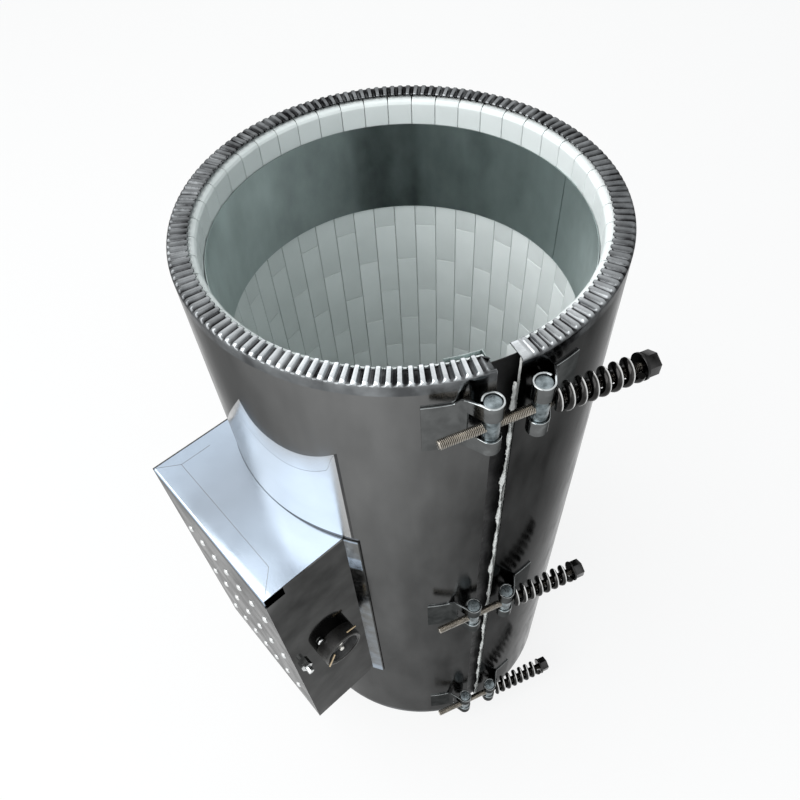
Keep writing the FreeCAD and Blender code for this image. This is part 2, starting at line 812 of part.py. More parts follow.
# Earth screw through the near plate, its head inside and its nut outside
earth_shank = across_plate("earth_shank", BAR_SIDES, "earth_diameter / 2", "earth_out", "box_sheet", "earth_deep", "earth_level")
earth_head = across_plate(
    "earth_head", 6, "nut_flats / sqrt(3)", "-box_sheet", "box_sheet + nut_height", "earth_deep", "earth_level"
)
keep(fuse("earth", [earth_shank, earth_head]), "earth_screw")
nut_blank = across_plate("nut_blank", 6, "nut_flats / sqrt(3)", "nut_height", "0", "earth_deep", "earth_level")
nut_bore = across_plate(
    "nut_bore", BAR_SIDES, "earth_diameter / 2 + thread_play", "nut_height", "0", "earth_deep", "earth_level"
)
keep(cut("nut", nut_blank, nut_bore), "earth_nut")


# Inside the box: ceramic bushes in the shell, the coils' two leads and the terminal block
def along_lead(name, radius, sign, inner, outer):
    """Bar along X at one lead's place, between two distances from the axis."""
    start = (f"-({outer})", f"{sign} * bush_spacing / 2", "bush_level")
    return prism(name, BAR_SIDES, radius, f"({outer}) - ({inner})", start, "x")


def stud(name, sign, play):
    """Terminal screw from the block's top down to its lead."""
    start = ("-(block_inner + block_outer) / 2", f"{sign} * bush_spacing / 2", "bush_level + lead_diameter / 2")
    return prism(name, BAR_SIDES, f"stud_diameter / 2 + {play}", "block_height / 2 + stud_out", start)


bushes = []
leads = []
studs = []
block_bores = []
for side, sign in SIDES.items():
    tube = along_lead(f"tube_{side}", "bush_diameter / 2", sign, "blanket_inner", "rim_radius + bush_out")
    bore = along_lead(f"tube_bore_{side}", "bush_bore / 2", sign, "blanket_inner", "rim_radius + bush_out")
    bushes.append(cut(f"bush_{side}", tube, bore))
    leads.append(along_lead(f"lead_{side}", "lead_diameter / 2", sign, "lead_start", "lead_end"))
    studs.append(stud(f"stud_{side}", sign, "0"))
    block_bores.append(along_lead(f"lead_bore_{side}", "bush_bore / 2", sign, "block_inner", "lead_end"))
    block_bores.append(stud(f"stud_bore_{side}", sign, "thread_play"))
keep(group("bushes", bushes), "lead_bushes")
keep(group("leads", leads), "power_leads")
ceramic_block = block(
    "ceramic_block",
    ("-block_outer", "-block_width / 2", "bush_level - block_height / 2"),
    ("block_depth", "block_width", "block_height"),
)
keep(cut("terminals", ceramic_block, group("block_bores", block_bores)), "terminal_block")
keep(group("studs", studs), "terminal_screws")

doc.recompute()
os.makedirs("parts", exist_ok=True)
for item in doc.Objects:
    if "Invalid" in item.State or "Error" in item.State:
        raise RuntimeError(f"{item.Label}: {item.State}")
for item in parts:
    if item.Shape.isNull() or not item.Shape.isValid():
        raise RuntimeError(f"{item.Label}: shape is not valid")
for item in parts:
    item.Shape.exportStep(f"parts/{item.Label}.step")
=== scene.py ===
"""Looks of a ceramic band heater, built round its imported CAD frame."""
import logging
import math
from dataclasses import dataclass, replace

import bmesh
import bpy
import numpy as np
from mathutils import Matrix, Vector

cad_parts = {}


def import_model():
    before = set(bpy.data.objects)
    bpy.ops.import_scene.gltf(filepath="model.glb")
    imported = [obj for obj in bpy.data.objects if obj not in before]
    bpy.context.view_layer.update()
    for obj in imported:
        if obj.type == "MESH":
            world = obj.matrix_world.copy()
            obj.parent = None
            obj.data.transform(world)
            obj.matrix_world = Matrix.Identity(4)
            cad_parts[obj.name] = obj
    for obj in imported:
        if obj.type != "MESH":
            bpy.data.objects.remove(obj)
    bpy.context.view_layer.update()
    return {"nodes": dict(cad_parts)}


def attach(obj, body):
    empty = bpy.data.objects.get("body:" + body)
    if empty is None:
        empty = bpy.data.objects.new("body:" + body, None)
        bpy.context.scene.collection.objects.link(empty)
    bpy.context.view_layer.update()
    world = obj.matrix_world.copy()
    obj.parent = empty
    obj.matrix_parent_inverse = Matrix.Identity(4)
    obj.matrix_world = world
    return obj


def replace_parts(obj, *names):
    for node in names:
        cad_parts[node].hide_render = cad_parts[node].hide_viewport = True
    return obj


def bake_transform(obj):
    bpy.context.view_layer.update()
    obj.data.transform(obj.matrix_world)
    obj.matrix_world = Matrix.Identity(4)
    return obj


LOG = logging.getLogger("band_heater")
MM = 0.001
TONE = "tone"
FULL_TURN = 2.0 * math.pi
QUARTER_TURN = math.pi / 2.0
NOISE_RANGE = (0.3, 0.7)
BUMP_HEIGHT = 0.3 * MM
TONE_DETAIL = 6.0
WEAR_DETAIL = 4.0
BUMP_DETAIL = 3.0
WEAR_SCALE = 2.7
UP = np.array([0.0, 0.0, 1.0])
OUT_OF_PLATE = np.array([0.0, -1.0, 0.0])
Array = np.ndarray
Triple = tuple[float, float, float]
Colour = Triple


class Graph:
    """Nodes and links of a material or of the world."""

    def __init__(self, tree: bpy.types.NodeTree) -> None:
        """Keeps the tree's nodes and links."""
        self.nodes = tree.nodes
        self.links = tree.links

    def add(self, kind: str, inputs: dict | None = None) -> bpy.types.Node:
        """Adds a node and feeds it.

        Args:
            kind: The node's type.
            inputs: Sockets or plain values by the input's name or number.

        Returns:
            The new node.
        """
        node = self.nodes.new(kind)
        self.feed(node, inputs or {})
        return node

    def feed(self, node: bpy.types.Node, inputs: dict) -> None:
        """Links the sockets among the inputs to a node, and sets the plain values.

        Args:
            node: The node that is fed.
            inputs: Sockets or plain values by the input's name or number.
        """
        for key, value in inputs.items():
            if isinstance(value, bpy.types.NodeSocket):
                self.links.new(value, node.inputs[key])
            else:
                node.inputs[key].default_value = value

    def maths(
        self, operation: str, first: bpy.types.NodeSocket, second: bpy.types.NodeSocket | float
    ) -> bpy.types.NodeSocket:
        """Result of a maths node on two sockets, or on a socket and a number.

        Args:
            operation: What the node works out.
            first: A socket.
            second: A socket or a number.

        Returns:
            The result's socket.
        """
        node = self.add("ShaderNodeMath", {0: first, 1: second})
        node.operation = operation
        return node.outputs["Value"]

    def glow(self, kind: str, colour: Colour, strength: float) -> bpy.types.NodeSocket:
        """Shader socket of a background or an emission."""
        return self.add(kind, {"Color": (*colour, 1.0), "Strength": strength}).outputs[0]

    def noise(
        self, place: bpy.types.NodeSocket, scale: float, detail: float, between: tuple[float, float]
    ) -> bpy.types.NodeSocket:
        """Noise at mapped coordinates, spread between two values.

        Args:
            place: Socket of the coordinates.
            scale: How fine the noise is.
            detail: How many finer layers it has.
            between: The two values.

        Returns:
            The noise's socket.
        """
        noise = self.add("ShaderNodeTexNoise", {"Scale": scale, "Detail": detail, "Vector": place})
        return self.add("ShaderNodeMapRange", {
            "Value": noise.outputs["Fac"], "From Min": NOISE_RANGE[0], "From Max": NOISE_RANGE[1],
            "To Min": between[0], "To Max": between[1],
        }).outputs["Result"]

    def seen_directly(self) -> bpy.types.NodeSocket:
        """Socket that is 1 for camera, glossy and transmission rays and 0 for the others.

        Returns:
            The value's socket.
        """
        path = self.add("ShaderNodeLightPath").outputs
        seen = self.maths("MAXIMUM", path["Is Camera Ray"], path["Is Glossy Ray"])
        return self.maths("MAXIMUM", seen, path["Is Transmission Ray"])


@dataclass(frozen=True)
class Finish:
    """One surface finish, made into a node material.

    Colours are linear and stand at tone 0, 0.5 and 1. The tone is 0.5, or the
    mesh's own tone where the finish is toned, plus spread times a noise of -1 to 1.
    """

    name: str
    slot: str
    dark: Colour
    light: Colour
    middle: Colour | None = None
    metallic: float = 1.0
    smooth: float = 0.2
    rough: float = 0.35
    spread: float = 0.4
    toned: bool = False
    scale: float = 40.0
    stretch: Triple = (1.0, 1.0, 1.0)
    bump: float = 0.08
    bump_scale: float = 400.0
    edge: float = 1.0

    def material(self) -> bpy.types.Material:
        """Makes the material, or returns the one already made.

        Returns:
            The node material of this finish.
        """
        known = bpy.data.materials.get(self.name)
        if known:
            return known
        material = bpy.data.materials.new(self.name)
        material.use_nodes = True
        graph = Graph(material.node_tree)
        shader = graph.nodes["Principled BSDF"]
        place = graph.add("ShaderNodeMapping", {
            "Scale": self.stretch, "Vector": graph.add("ShaderNodeTexCoord").outputs["Object"],
        }).outputs["Vector"]
        middle = 0.0 if self.toned else 0.5
        tone = graph.noise(place, self.scale, TONE_DETAIL, (middle - self.spread, middle + self.spread))
        if self.toned:
            own = graph.add("ShaderNodeAttribute")
            own.attribute_name = TONE
            tone = graph.maths("ADD", own.outputs["Fac"], tone)
        ramp = graph.add("ShaderNodeValToRGB", {"Fac": tone})
        ramp.color_ramp.elements[0].color = (*self.dark, 1.0)
        ramp.color_ramp.elements[1].color = (*self.light, 1.0)
        if self.middle:
            ramp.color_ramp.elements.new(0.5).color = (*self.middle, 1.0)
        wear = graph.noise(place, self.scale * WEAR_SCALE, WEAR_DETAIL, (self.smooth, self.rough))
        graph.feed(shader, {
            "Metallic": self.metallic, "Specular Tint": (self.edge, self.edge, self.edge, 1.0),
            "Base Color": ramp.outputs["Color"], "Roughness": wear,
        })
        if self.bump:
            fine = graph.noise(place, self.bump_scale, BUMP_DETAIL, (0.0, 1.0))
            bump = {"Strength": self.bump, "Distance": BUMP_HEIGHT, "Height": fine}
            graph.feed(shader, {"Normal": graph.add("ShaderNodeBump", bump).outputs["Normal"]})
        return material


SHELL_STEEL = Finish(
    "polished_shell_steel", "polished_steel", (0.022, 0.022, 0.022), (0.26, 0.263, 0.262),
    smooth=0.10, rough=0.22, spread=0.10, toned=True, scale=36.0, stretch=(1.0, 1.0, 0.35),
    bump=0.03, edge=0.4,
)
RIM_STEEL = Finish(
    "crimped_rim_steel", "polished_steel", (0.012, 0.012, 0.013), (0.88, 0.93, 0.96),
    smooth=0.12, rough=0.28, spread=0.08, toned=True, scale=70.0, edge=0.5,
)
# Finish of the painted reflection of the box's top on the shell.
PATCH_STEEL = Finish(
    "painted_box_reflection", "polished_steel", (0.02, 0.02, 0.02), (0.49, 0.495, 0.495),
    smooth=0.15, rough=0.25, spread=0.06, toned=True, scale=14.0, bump=0.0,
)
HOOP_STEEL = Finish(
    "hoop_steel", "polished_steel", (0.06, 0.072, 0.072), (0.76, 0.87, 0.86),
    smooth=0.28, rough=0.42, spread=0.09, toned=True, scale=34.0, stretch=(1.0, 1.0, 0.6),
)
CHANNEL_STEEL = replace(HOOP_STEEL, name="channel_steel", toned=False, spread=0.2)
COVER_STEEL = Finish(
    "box_cover_steel", "polished_steel", (0.05, 0.052, 0.051), (0.54, 0.65, 0.79), (0.20, 0.205, 0.203),
    smooth=0.12, rough=0.24, spread=0.03, toned=True, scale=12.0, bump=0.02, edge=0.32,
)
FLANGE_STEEL = replace(COVER_STEEL, name="flange_steel", spread=0.06, scale=90.0, edge=0.6)
# The dimples' near-white colour is a painted highlight on the domes of the dark cover sheet.
DIMPLE_STEEL = Finish(
    "dimple_painted_highlight", "polished_steel", (0.66, 0.68, 0.68), (0.95, 0.97, 0.97), smooth=0.1, rough=0.2,
)
PLATE_STEEL = Finish(
    "side_plate_steel", "polished_steel", (0.02, 0.02, 0.02), (0.24, 0.243, 0.24),
    smooth=0.05, rough=0.12, spread=0.10, toned=True, scale=40.0, bump=0.015, edge=0.5,
)
FAR_PLATE_STEEL = replace(PLATE_STEEL, name="far_plate_steel", toned=False, spread=0.15)
STRAP_STEEL = Finish(
    "clamp_strap_steel", "clamp_steel", (0.035, 0.036, 0.036), (0.60, 0.64, 0.65), (0.15, 0.155, 0.155),
    edge=0.3, smooth=0.06, rough=0.2, spread=0.10, toned=True, scale=110.0,
)
PIN_ZINC = Finish(
    "zinc_pin_steel", "clamp_steel", (0.06, 0.075, 0.08), (0.44, 0.51, 0.54),
    smooth=0.22, rough=0.4, spread=0.3, toned=True, scale=260.0, bump=0.12,
)
SCREW_ZINC = Finish(
    "bright_zinc_screw", "clamp_steel", (0.30, 0.31, 0.31), (0.88, 0.90, 0.90),
    smooth=0.12, rough=0.25, scale=200.0,
)
THREAD_STEEL = Finish(
    "thread_steel", "dark_steel", (0.03, 0.028, 0.025), (0.74, 0.69, 0.61),
    smooth=0.18, rough=0.35, spread=0.12, toned=True, scale=150.0,
)
HEAD_STEEL = Finish(
    "blackened_head_steel", "dark_steel", (0.008, 0.008, 0.008), (0.055, 0.055, 0.055),
    smooth=0.12, rough=0.3, spread=0.5, scale=90.0,
)
SPRING_STEEL = Finish(
    "black_spring_steel", "clamp_steel", (0.006, 0.006, 0.006), (0.86, 0.87, 0.86), (0.045, 0.044, 0.043),
    smooth=0.08, rough=0.2, spread=0.10, toned=True, scale=200.0,
)
WASHER_STEEL = replace(HEAD_STEEL, name="washer_steel", slot="clamp_steel")
# The tongue's near-black colour is painted shade of the split.
TONGUE_STEEL = Finish(
    "tongue_painted_shade", "dark_steel", (0.004, 0.004, 0.004), (0.014, 0.014, 0.015),
    metallic=0.8, smooth=0.4, rough=0.6,
)
CERAMIC = Finish(
    "white_ceramic", "ceramic", (0.58, 0.62, 0.61), (0.93, 0.965, 0.96),
    metallic=0.0, smooth=0.42, rough=0.62, spread=0.08, toned=True, scale=30.0, bump=0.1,
)
PLAIN_CERAMIC = replace(CERAMIC, name="plain_ceramic", toned=False)
FIBRE = Finish(
    "ceramic_fibre", "fibre", (0.50, 0.50, 0.48), (0.94, 0.94, 0.92),
    metallic=0.0, smooth=0.8, rough=0.95, scale=420.0, bump=0.6, bump_scale=1500.0,
)
COIL_WIRE = Finish("coil_wire", "coil_wire", (0.16, 0.15, 0.14), (0.30, 0.28, 0.26), scale=300.0)
PHENOLIC = Finish(
    "dark_phenolic", "phenolic", (0.006, 0.0055, 0.005), (0.06, 0.058, 0.055),
    metallic=0.0, smooth=0.25, rough=0.45, spread=0.1, toned=True, scale=90.0, edge=0.5,
)
GREY_PHENOLIC = Finish(
    "inlet_cup", "phenolic", (0.03, 0.03, 0.03), (0.13, 0.13, 0.13),
    metallic=0.0, smooth=0.3, rough=0.5, scale=120.0,
)
CONTACT = Finish("contact_metal", "contact_metal", (0.50, 0.47, 0.42), (0.86, 0.84, 0.80), scale=200.0)
TAN_STRIP = Finish("tan_terminal_strip", "contact_metal", (0.36, 0.28, 0.17), (0.62, 0.50, 0.34), scale=200.0)
BRASS = Finish("brass_screw", "brass_screw", (0.45, 0.33, 0.15), (0.66, 0.50, 0.24), scale=200.0)


class Patchwork:
    """Collects grids and loose faces with a tone for each point, and makes one mesh object of them."""

    def __init__(self) -> None:
        """Starts empty."""
        self.points: list[Array] = []
        self.tones: list[Array] = []
        self.faces: list[tuple[int, ...]] = []
        self.count = 0

    def add_points(self, points: Array, tone: Array | float = 0.5) -> int:
        """Adds points.

        Args:
            points: Array of shape (..., 3).
            tone: Their tone, of a shape that spreads over the points.

        Returns:
            The index of the first one.
        """
        first = self.count
        self.points.append(points.reshape(-1, 3))
        self.tones.append(np.broadcast_to(tone, points.shape[:-1]).reshape(-1))
        self.count += len(self.points[-1])
        return first

    def add_grid(
        self, points: Array, tone: Array | float = 0.5, wrap_rows: bool = False, wrap_columns: bool = False
    ) -> None:
        """Adds a grid of quads; quad (i, j) joins row i to row i+1 and column j to column j+1.

        Args:
            points: Array of shape (rows, columns, 3).
            tone: Tone of the points.
            wrap_rows: Whether the last row joins the first.
            wrap_columns: Whether the last column joins the first.
        """
        rows, columns = points.shape[:2]
        first = self.add_points(points, tone)
        row = np.arange(rows if wrap_rows else rows - 1)[:, None]
        column = np.arange(columns if wrap_columns else columns - 1)[None, :]
        next_row = (row + 1) % rows
        next_column = (column + 1) % columns
        corners = [row * columns + column, row * columns + next_column,
                   next_row * columns + next_column, next_row * columns + column]
        quads = np.stack(np.broadcast_arrays(*corners), axis=-1).reshape(-1, 4) + first
        self.faces.extend(map(tuple, quads.tolist()))

    def add_shape(self, points: Array, tone: Array | float, *faces: Array) -> None:
        """Adds copies of one shape.

        Args:
            points: Array of shape (copies, corners, 3).
            tone: Tone of the points.
            faces: Arrays of shape (n, sides) of corner numbers within one copy.
        """
        copies, corners = points.shape[:2]
        first = self.add_points(points, tone)
        shift = first + corners * np.arange(copies)[:, None, None]
        for group in faces:
            self.faces.extend(map(tuple, (group[None] + shift).reshape(-1, group.shape[1]).tolist()))

    def add_cap(self, loop: Array, tone: Array | float = 0.5) -> None:
        """Adds one polygon through a loop of points."""
        first = self.add_points(loop, tone)
        self.faces.append(tuple(range(first, first + len(loop))))

    def add_tube(self, points: Array, tone: Array | float = 0.5) -> None:
        """Adds a grid whose columns wrap, with its first and last row closed.

        Args:
            points: Array of shape (rows, columns, 3).
            tone: Tone of the points.
        """
        self.add_grid(points, tone, wrap_columns=True)
        tones = np.broadcast_to(tone, points.shape[:-1])
        self.add_cap(points[0], tones[0])
        self.add_cap(points[-1], tones[-1])

    def piece(self, name: str, finish: Finish, body: str | None, sharp: float = 40.0) -> bpy.types.Object:
        """Makes the mesh object, merges its seams and lets it ride on a body.

        Args:
            name: The object's name.
            finish: Its finish.
            body: The CAD body that it rides on, or None.
            sharp: Angle in degrees past which an edge is shaded sharp.

        Returns:
            The new object.
        """
        mesh = bpy.data.meshes.new(name)
        mesh.from_pydata(np.concatenate(self.points).tolist(), [], self.faces)
        tones = mesh.attributes.new(TONE, "FLOAT", "POINT")
        tones.data.foreach_set("value", np.concatenate(self.tones).astype(np.float32))
        work = bmesh.new()
        work.from_mesh(mesh)
        bmesh.ops.remove_doubles(work, verts=work.verts, dist=1e-6)
        bmesh.ops.recalc_face_normals(work, faces=work.faces)
        work.to_mesh(mesh)
        work.free()
        mesh.polygons.foreach_set("use_smooth", np.ones(len(mesh.polygons), dtype=bool))
        mesh.set_sharp_from_angle(angle=math.radians(sharp))
        mesh.materials.append(finish.material())
        item = bpy.data.objects.new(name, mesh)
        bpy.context.scene.collection.objects.link(item)
        if body:
            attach(item, body)
        LOG.info("%s: %d faces on %s", name, len(mesh.polygons), body)
        return item


def polar(radius: Array, azimuth: Array, height: Array) -> Array:
    """Points at radius and azimuth (radians) about Z, at these heights."""
    radius, azimuth, height = np.broadcast_arrays(radius, azimuth, height)
    return np.stack([radius * np.cos(azimuth), radius * np.sin(azimuth), height], axis=-1)


def smooth_step(values: Array, low: float, high: float) -> Array:
    """0 below low, 1 above high, and 3t^2 - 2t^3 between them."""
    share = np.clip((values - low) / (high - low), 0.0, 1.0)
    return share * share * (3.0 - 2.0 * share)


def bump_at(values: Array, middle: float, width: float) -> Array:
    """1 at the middle, falling to 0 as exp(-(distance / width)^2)."""
    return np.exp(-(((values - middle) / width) ** 2))


def wavy(values: Array, seed: int, waves: int = 6, lowest: float = 1.0) -> Array:
    """Sum of sines of rising frequency and falling height, about -1 to 1.

    Args:
        values: Where the sum is taken.
        seed: Seed of the phases.
        waves: How many sines.
        lowest: Turns per unit of the first sine.

    Returns:
        The sum at each value.
    """
    random = np.random.default_rng(seed)
    total = np.zeros_like(values)
    for wave in range(waves):
        frequency = lowest * 1.7 ** wave
        phase = random.uniform(0.0, FULL_TURN)
        total += np.sin(FULL_TURN * frequency * values + phase) / (1.0 + wave)
    return total / 2.0


def off_middle(degrees: Array, middle: float) -> Array:
    """Angle from a middle, between -180 and 180 degrees."""
    return (degrees - middle + 180.0) % 360.0 - 180.0


def band_slab(section: Array, azimuths: Array, build: Patchwork, tone: Array | float = 0.5) -> None:
    """Closed section carried round Z, with both ends closed.

    Args:
        section: Array of shape (n, 2) of radius and height, a closed loop.
        azimuths: Where the section stands, in radians.
        build: What the surface is added to.
        tone: Tone of the points, of a shape that spreads over azimuths and section.
    """
    points = polar(section[None, :, 0], azimuths[:, None], section[None, :, 1])
    build.add_tube(points, tone)


def ring_section(near: float, far: float, low: float, high: float) -> Array:
    """Corners of a rectangle in radius and height."""
    return np.array([[near, low], [far, low], [far, high], [near, high]])


def turned(profile: Array, origin: Array, axis: Array, sides: int, phase: float = 0.0) -> Array:
    """Profile turned round an axis: origin + axis * along + radius * (side cos + other sin).

    Args:
        profile: Array of shape (n, 2) of distance along the axis and radius.
        origin: A point on the axis.
        axis: The axis, of length 1.
        sides: How many columns.
        phase: How far the first column is turned, in columns.

    Returns:
        Grid of shape (n, sides, 3); its columns wrap.
    """
    helper = UP if abs(axis[2]) < 0.9 else np.array([1.0, 0.0, 0.0])
    side = np.cross(helper, axis)
    side = side / np.linalg.norm(side)
    other = np.cross(axis, side)
    angle = FULL_TURN * (np.arange(sides) + phase) / sides
    around = np.cos(angle)[:, None] * side + np.sin(angle)[:, None] * other
    return origin + profile[:, 0, None, None] * axis + profile[:, 1, None, None] * around[None]


def eased_bar(start: float, end: float, radius: float, ease: float) -> Array:
    """Profile of a round bar whose end edges are rounded off by ease.

    Args:
        start: Where the bar starts, along its axis.
        end: Where it ends.
        radius: Its radius.
        ease: Radius of the rounded end edges.

    Returns:
        Array of shape (8, 2) of distance along the axis and radius.
    """
    turn = np.linspace(0.0, QUARTER_TURN, 4)
    first = np.stack([start + ease - ease * np.cos(turn), radius - ease + ease * np.sin(turn)], axis=-1)
    last = np.stack([end - ease + ease * np.sin(turn), radius - ease + ease * np.cos(turn)], axis=-1)
    return np.concatenate([first, last])


@dataclass
class Band:
    """Sizes that the band's own pieces share, in metres."""

    height: float = 604.0 * MM
    radius: float = 142.5 * MM
    sheet: float = 0.8 * MM
    seam_azimuth: float = math.radians(-108.6)
    seam_gap: float = 14.4 * MM
    lining_gap: float = 16.8 * MM
    lining_radius: float = 125.0 * MM
    brick_depth: float = 9.0 * MM
    lining_low: float = 3.7 * MM
    # wall_base and streaks make the painted reflection tone of the shell's wall.
    wall_base: float = 0.15
    streaks: tuple[Triple, ...] = (
        (0.41, 323.0, 27.0), (0.30, 160.0, 30.0), (0.25, 275.0, 26.0), (0.10, 85.0, 24.0),
    )
    body: str = "band"

    def arc(self, length: float) -> float:
        """Angle of an arc of this length on the rim."""
        return length / self.radius

    def around(self, gap: float, count: int) -> Array:
        """Azimuths from the right edge of a gap round to its left edge."""
        half = self.arc(gap) / 2.0
        return np.linspace(self.seam_azimuth + half, self.seam_azimuth + FULL_TURN - half, count)

    def wall_reflection_tone(self, azimuth: Array) -> Array:
        """Tone of the polished wall as painted reflection: four broad light streaks, and narrow ones that
        wander round it.

        Each streak has its tone, and its middle and width in degrees from the split.

        Args:
            azimuth: Where it is taken, in radians.

        Returns:
            The tone at each azimuth.
        """
        turn = np.degrees(azimuth - self.seam_azimuth)
        broad = self.wall_base
        for share, middle, width in self.streaks:
            broad = broad + share * bump_at(turn, middle, width)
        return broad + 0.05 * wavy(turn / 90.0, 21, 7)


@dataclass
class Shell(Band):
    """Rolled outer sheet whose rims are turned in and crimped."""

    lip: float = 13.5 * MM
    corner: float = 3.0 * MM
    crest: float = 2.1 * MM
    crests: int = 149
    steps: int = 10
    columns: int = 481
    rows: int = 33
    rim_part: float = 9.0 * MM
    lap: float = 0.4 * MM
    curl: float = 1.2 * MM
    steepness: float = 2.8
    widening: float = 0.2
    right_fade: tuple[float, float] = (4.0 * MM, 11.0 * MM)
    left_fade: tuple[float, float] = (2.0 * MM, 7.0 * MM)
    left_press: float = 1.2 * MM
    droop: float = 2.6 * MM
    droop_reach: float = 8.0 * MM

    def build(self) -> None:
        """Builds the wall and both rims."""
        wall = self.wall()
        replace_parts(wall, "outer_shell")
        for name, upper in (("rim_crimp_top", True), ("rim_crimp_bottom", False)):
            self.rim(name, upper)

    def wall(self) -> bpy.types.Object:
        """Builds the plain wall between the rims, with painted reflection streaks and painted shade darker
        towards its foot.

        Returns:
            The wall's object.
        """
        azimuth = self.around(self.seam_gap, self.columns)
        heights = np.linspace(self.rim_part - self.lap, self.height - self.rim_part + self.lap, self.rows)
        outer = polar(self.radius, azimuth[:, None], heights[None])
        inner = polar(self.radius - self.sheet, azimuth[:, None], heights[None, ::-1])
        level = heights[None] / self.height
        # Painted reflection, with painted shade darker towards the foot; the inner side is painted shade at
        # half the tone.
        tone = self.wall_reflection_tone(azimuth)[:, None] * (0.88 + 0.22 * level) + 0.03 + 0.02 * wavy(level * 2.0, 8)
        build = Patchwork()
        build.add_tube(np.concatenate([outer, inner], axis=1), np.concatenate([tone, tone * 0.5], axis=1))
        return build.piece("shell_wall", SHELL_STEEL, self.body, 50.0)

    def outline(self) -> tuple[Array, Array, Array]:
        """Crest line of the upper rim, from the wall up and in.

        Returns:
            Points (radius, height), outward normals, and how deep a groove is there, 0 to 1.
        """
        wall = np.linspace(self.height - self.rim_part, self.height - self.corner, 5)
        turn = np.linspace(0.0, QUARTER_TURN, 8)[1:]
        flat = np.linspace(self.radius - self.corner, self.radius - self.lip + self.curl, 7)[1:]
        curl = np.linspace(0.0, math.pi / 2.4, 4)[1:]
        radius = np.concatenate([
            np.full(5, self.radius),
            self.radius - self.corner + self.corner * np.cos(turn),
            flat,
            flat[-1] - self.curl * np.sin(curl),
        ])
        height = np.concatenate([
            wall,
            self.height - self.corner + self.corner * np.sin(turn),
            np.full(6, self.height),
            self.height - self.curl * (1.0 - np.cos(curl)),
        ])
        tilt = np.concatenate([np.zeros(5), turn, np.full(6, QUARTER_TURN), QUARTER_TURN + curl])
        normals = np.stack([np.cos(tilt), np.sin(tilt)], axis=-1)
        depth = np.concatenate([np.zeros(5), smooth_step(turn, 0.15, 1.3), np.ones(6), np.ones(3)])
        return np.stack([radius, height], axis=-1), normals, depth

    def crimps(self, azimuth: Array, seed: int) -> tuple[Array, Array]:
        """Depth and tone of the crimps along a rim.

        The depth is crest * (1 - wave), where wave is a rounded square wave of the
        azimuth. The crimps fade out at both ends, and the left end droops.

        Args:
            azimuth: Where the rim is drawn, steps times for each crest.
            seed: Seed of how uneven the crimps are.

        Returns:
            How far the sheet is pressed in, and its tone of painted light.
        """
        phase = np.arange(len(azimuth)) / self.steps
        wave = 0.5 + 0.5 * np.tanh(self.steepness * (self.widening - np.cos(FULL_TURN * phase)))
        random = np.random.default_rng(seed)
        knots = np.arange(self.crests + 1)
        uneven = np.interp(phase, knots, random.uniform(0.75, 1.0, self.crests + 1))
        shine = np.interp(phase, knots, random.uniform(0.62, 0.95, self.crests + 1))
        from_right = (azimuth - azimuth[0]) * self.radius
        from_left = (azimuth[-1] - azimuth) * self.radius
        right_end = 1.0 - smooth_step(from_right, *self.right_fade)
        left_end = 1.0 - smooth_step(from_left, *self.left_fade)
        rounded = np.clip(1.0 - from_left / self.droop_reach, 0.0, 1.0) ** 2
        crimped = (1.0 - right_end) * (1.0 - left_end)
        press = self.crest * (1.0 - wave) * uneven * crimped
        press = press + self.left_press * left_end + self.droop * rounded
        turn = np.degrees(azimuth - self.seam_azimuth)
        # Painted light: the crests carry painted highlights that vary by azimuth and from crest to crest, the
        # grooves painted shade; the smooth right end is a pale painted highlight and the left end painted
        # shade.
        shade = 0.19 + 0.80 * bump_at(turn, 330.0, 34.0) + 0.40 * bump_at(turn, 20.0, 18.0)
        tone = (0.02 + wave * shine * shade) * crimped + 0.62 * right_end + 0.13 * left_end
        return press, tone

    def rim(self, name: str, upper: bool) -> bpy.types.Object:
        """Builds one crimped rim, whose inner side follows the outer one at the sheet's thickness.

        Args:
            name: The object's name.
            upper: Whether it is the upper rim.

        Returns:
            The rim's object.
        """
        line, normals, depth = self.outline()
        if not upper:
            line = line * [1.0, -1.0] + [0.0, self.height]
            normals = normals * [1.0, -1.0]
        azimuth = self.around(self.seam_gap, self.crests * self.steps + 1)
        press, ridged = self.crimps(azimuth, 5 if upper else 6)
        # Below the crimps the rim's corner carries the wall's painted reflection, dimmer.
        low_tone = 0.36 * self.wall_reflection_tone(azimuth)
        tone = ridged[:, None] * depth[None] + low_tone[:, None] * (1.0 - depth[None])
        outer = line[None] - normals[None] * (press[:, None] * depth[None])[..., None]
        inner = outer - normals[None] * self.sheet
        grids = [polar(side[..., 0], azimuth[:, None], side[..., 1]) for side in (outer, inner)]
        build = Patchwork()
        loop = np.concatenate([grids[0], grids[1][:, ::-1]], axis=1)
        # The inner side is painted shade at 0.4 of the outer tone, and the ends are painted shade too.
        build.add_grid(loop, np.concatenate([tone, tone[:, ::-1] * 0.4], axis=1), wrap_columns=True)
        for end in (0, -1):
            build.add_grid(np.stack([grids[0][end], grids[1][end]]), 0.2)
        return build.piece(name, RIM_STEEL, self.body, 50.0)


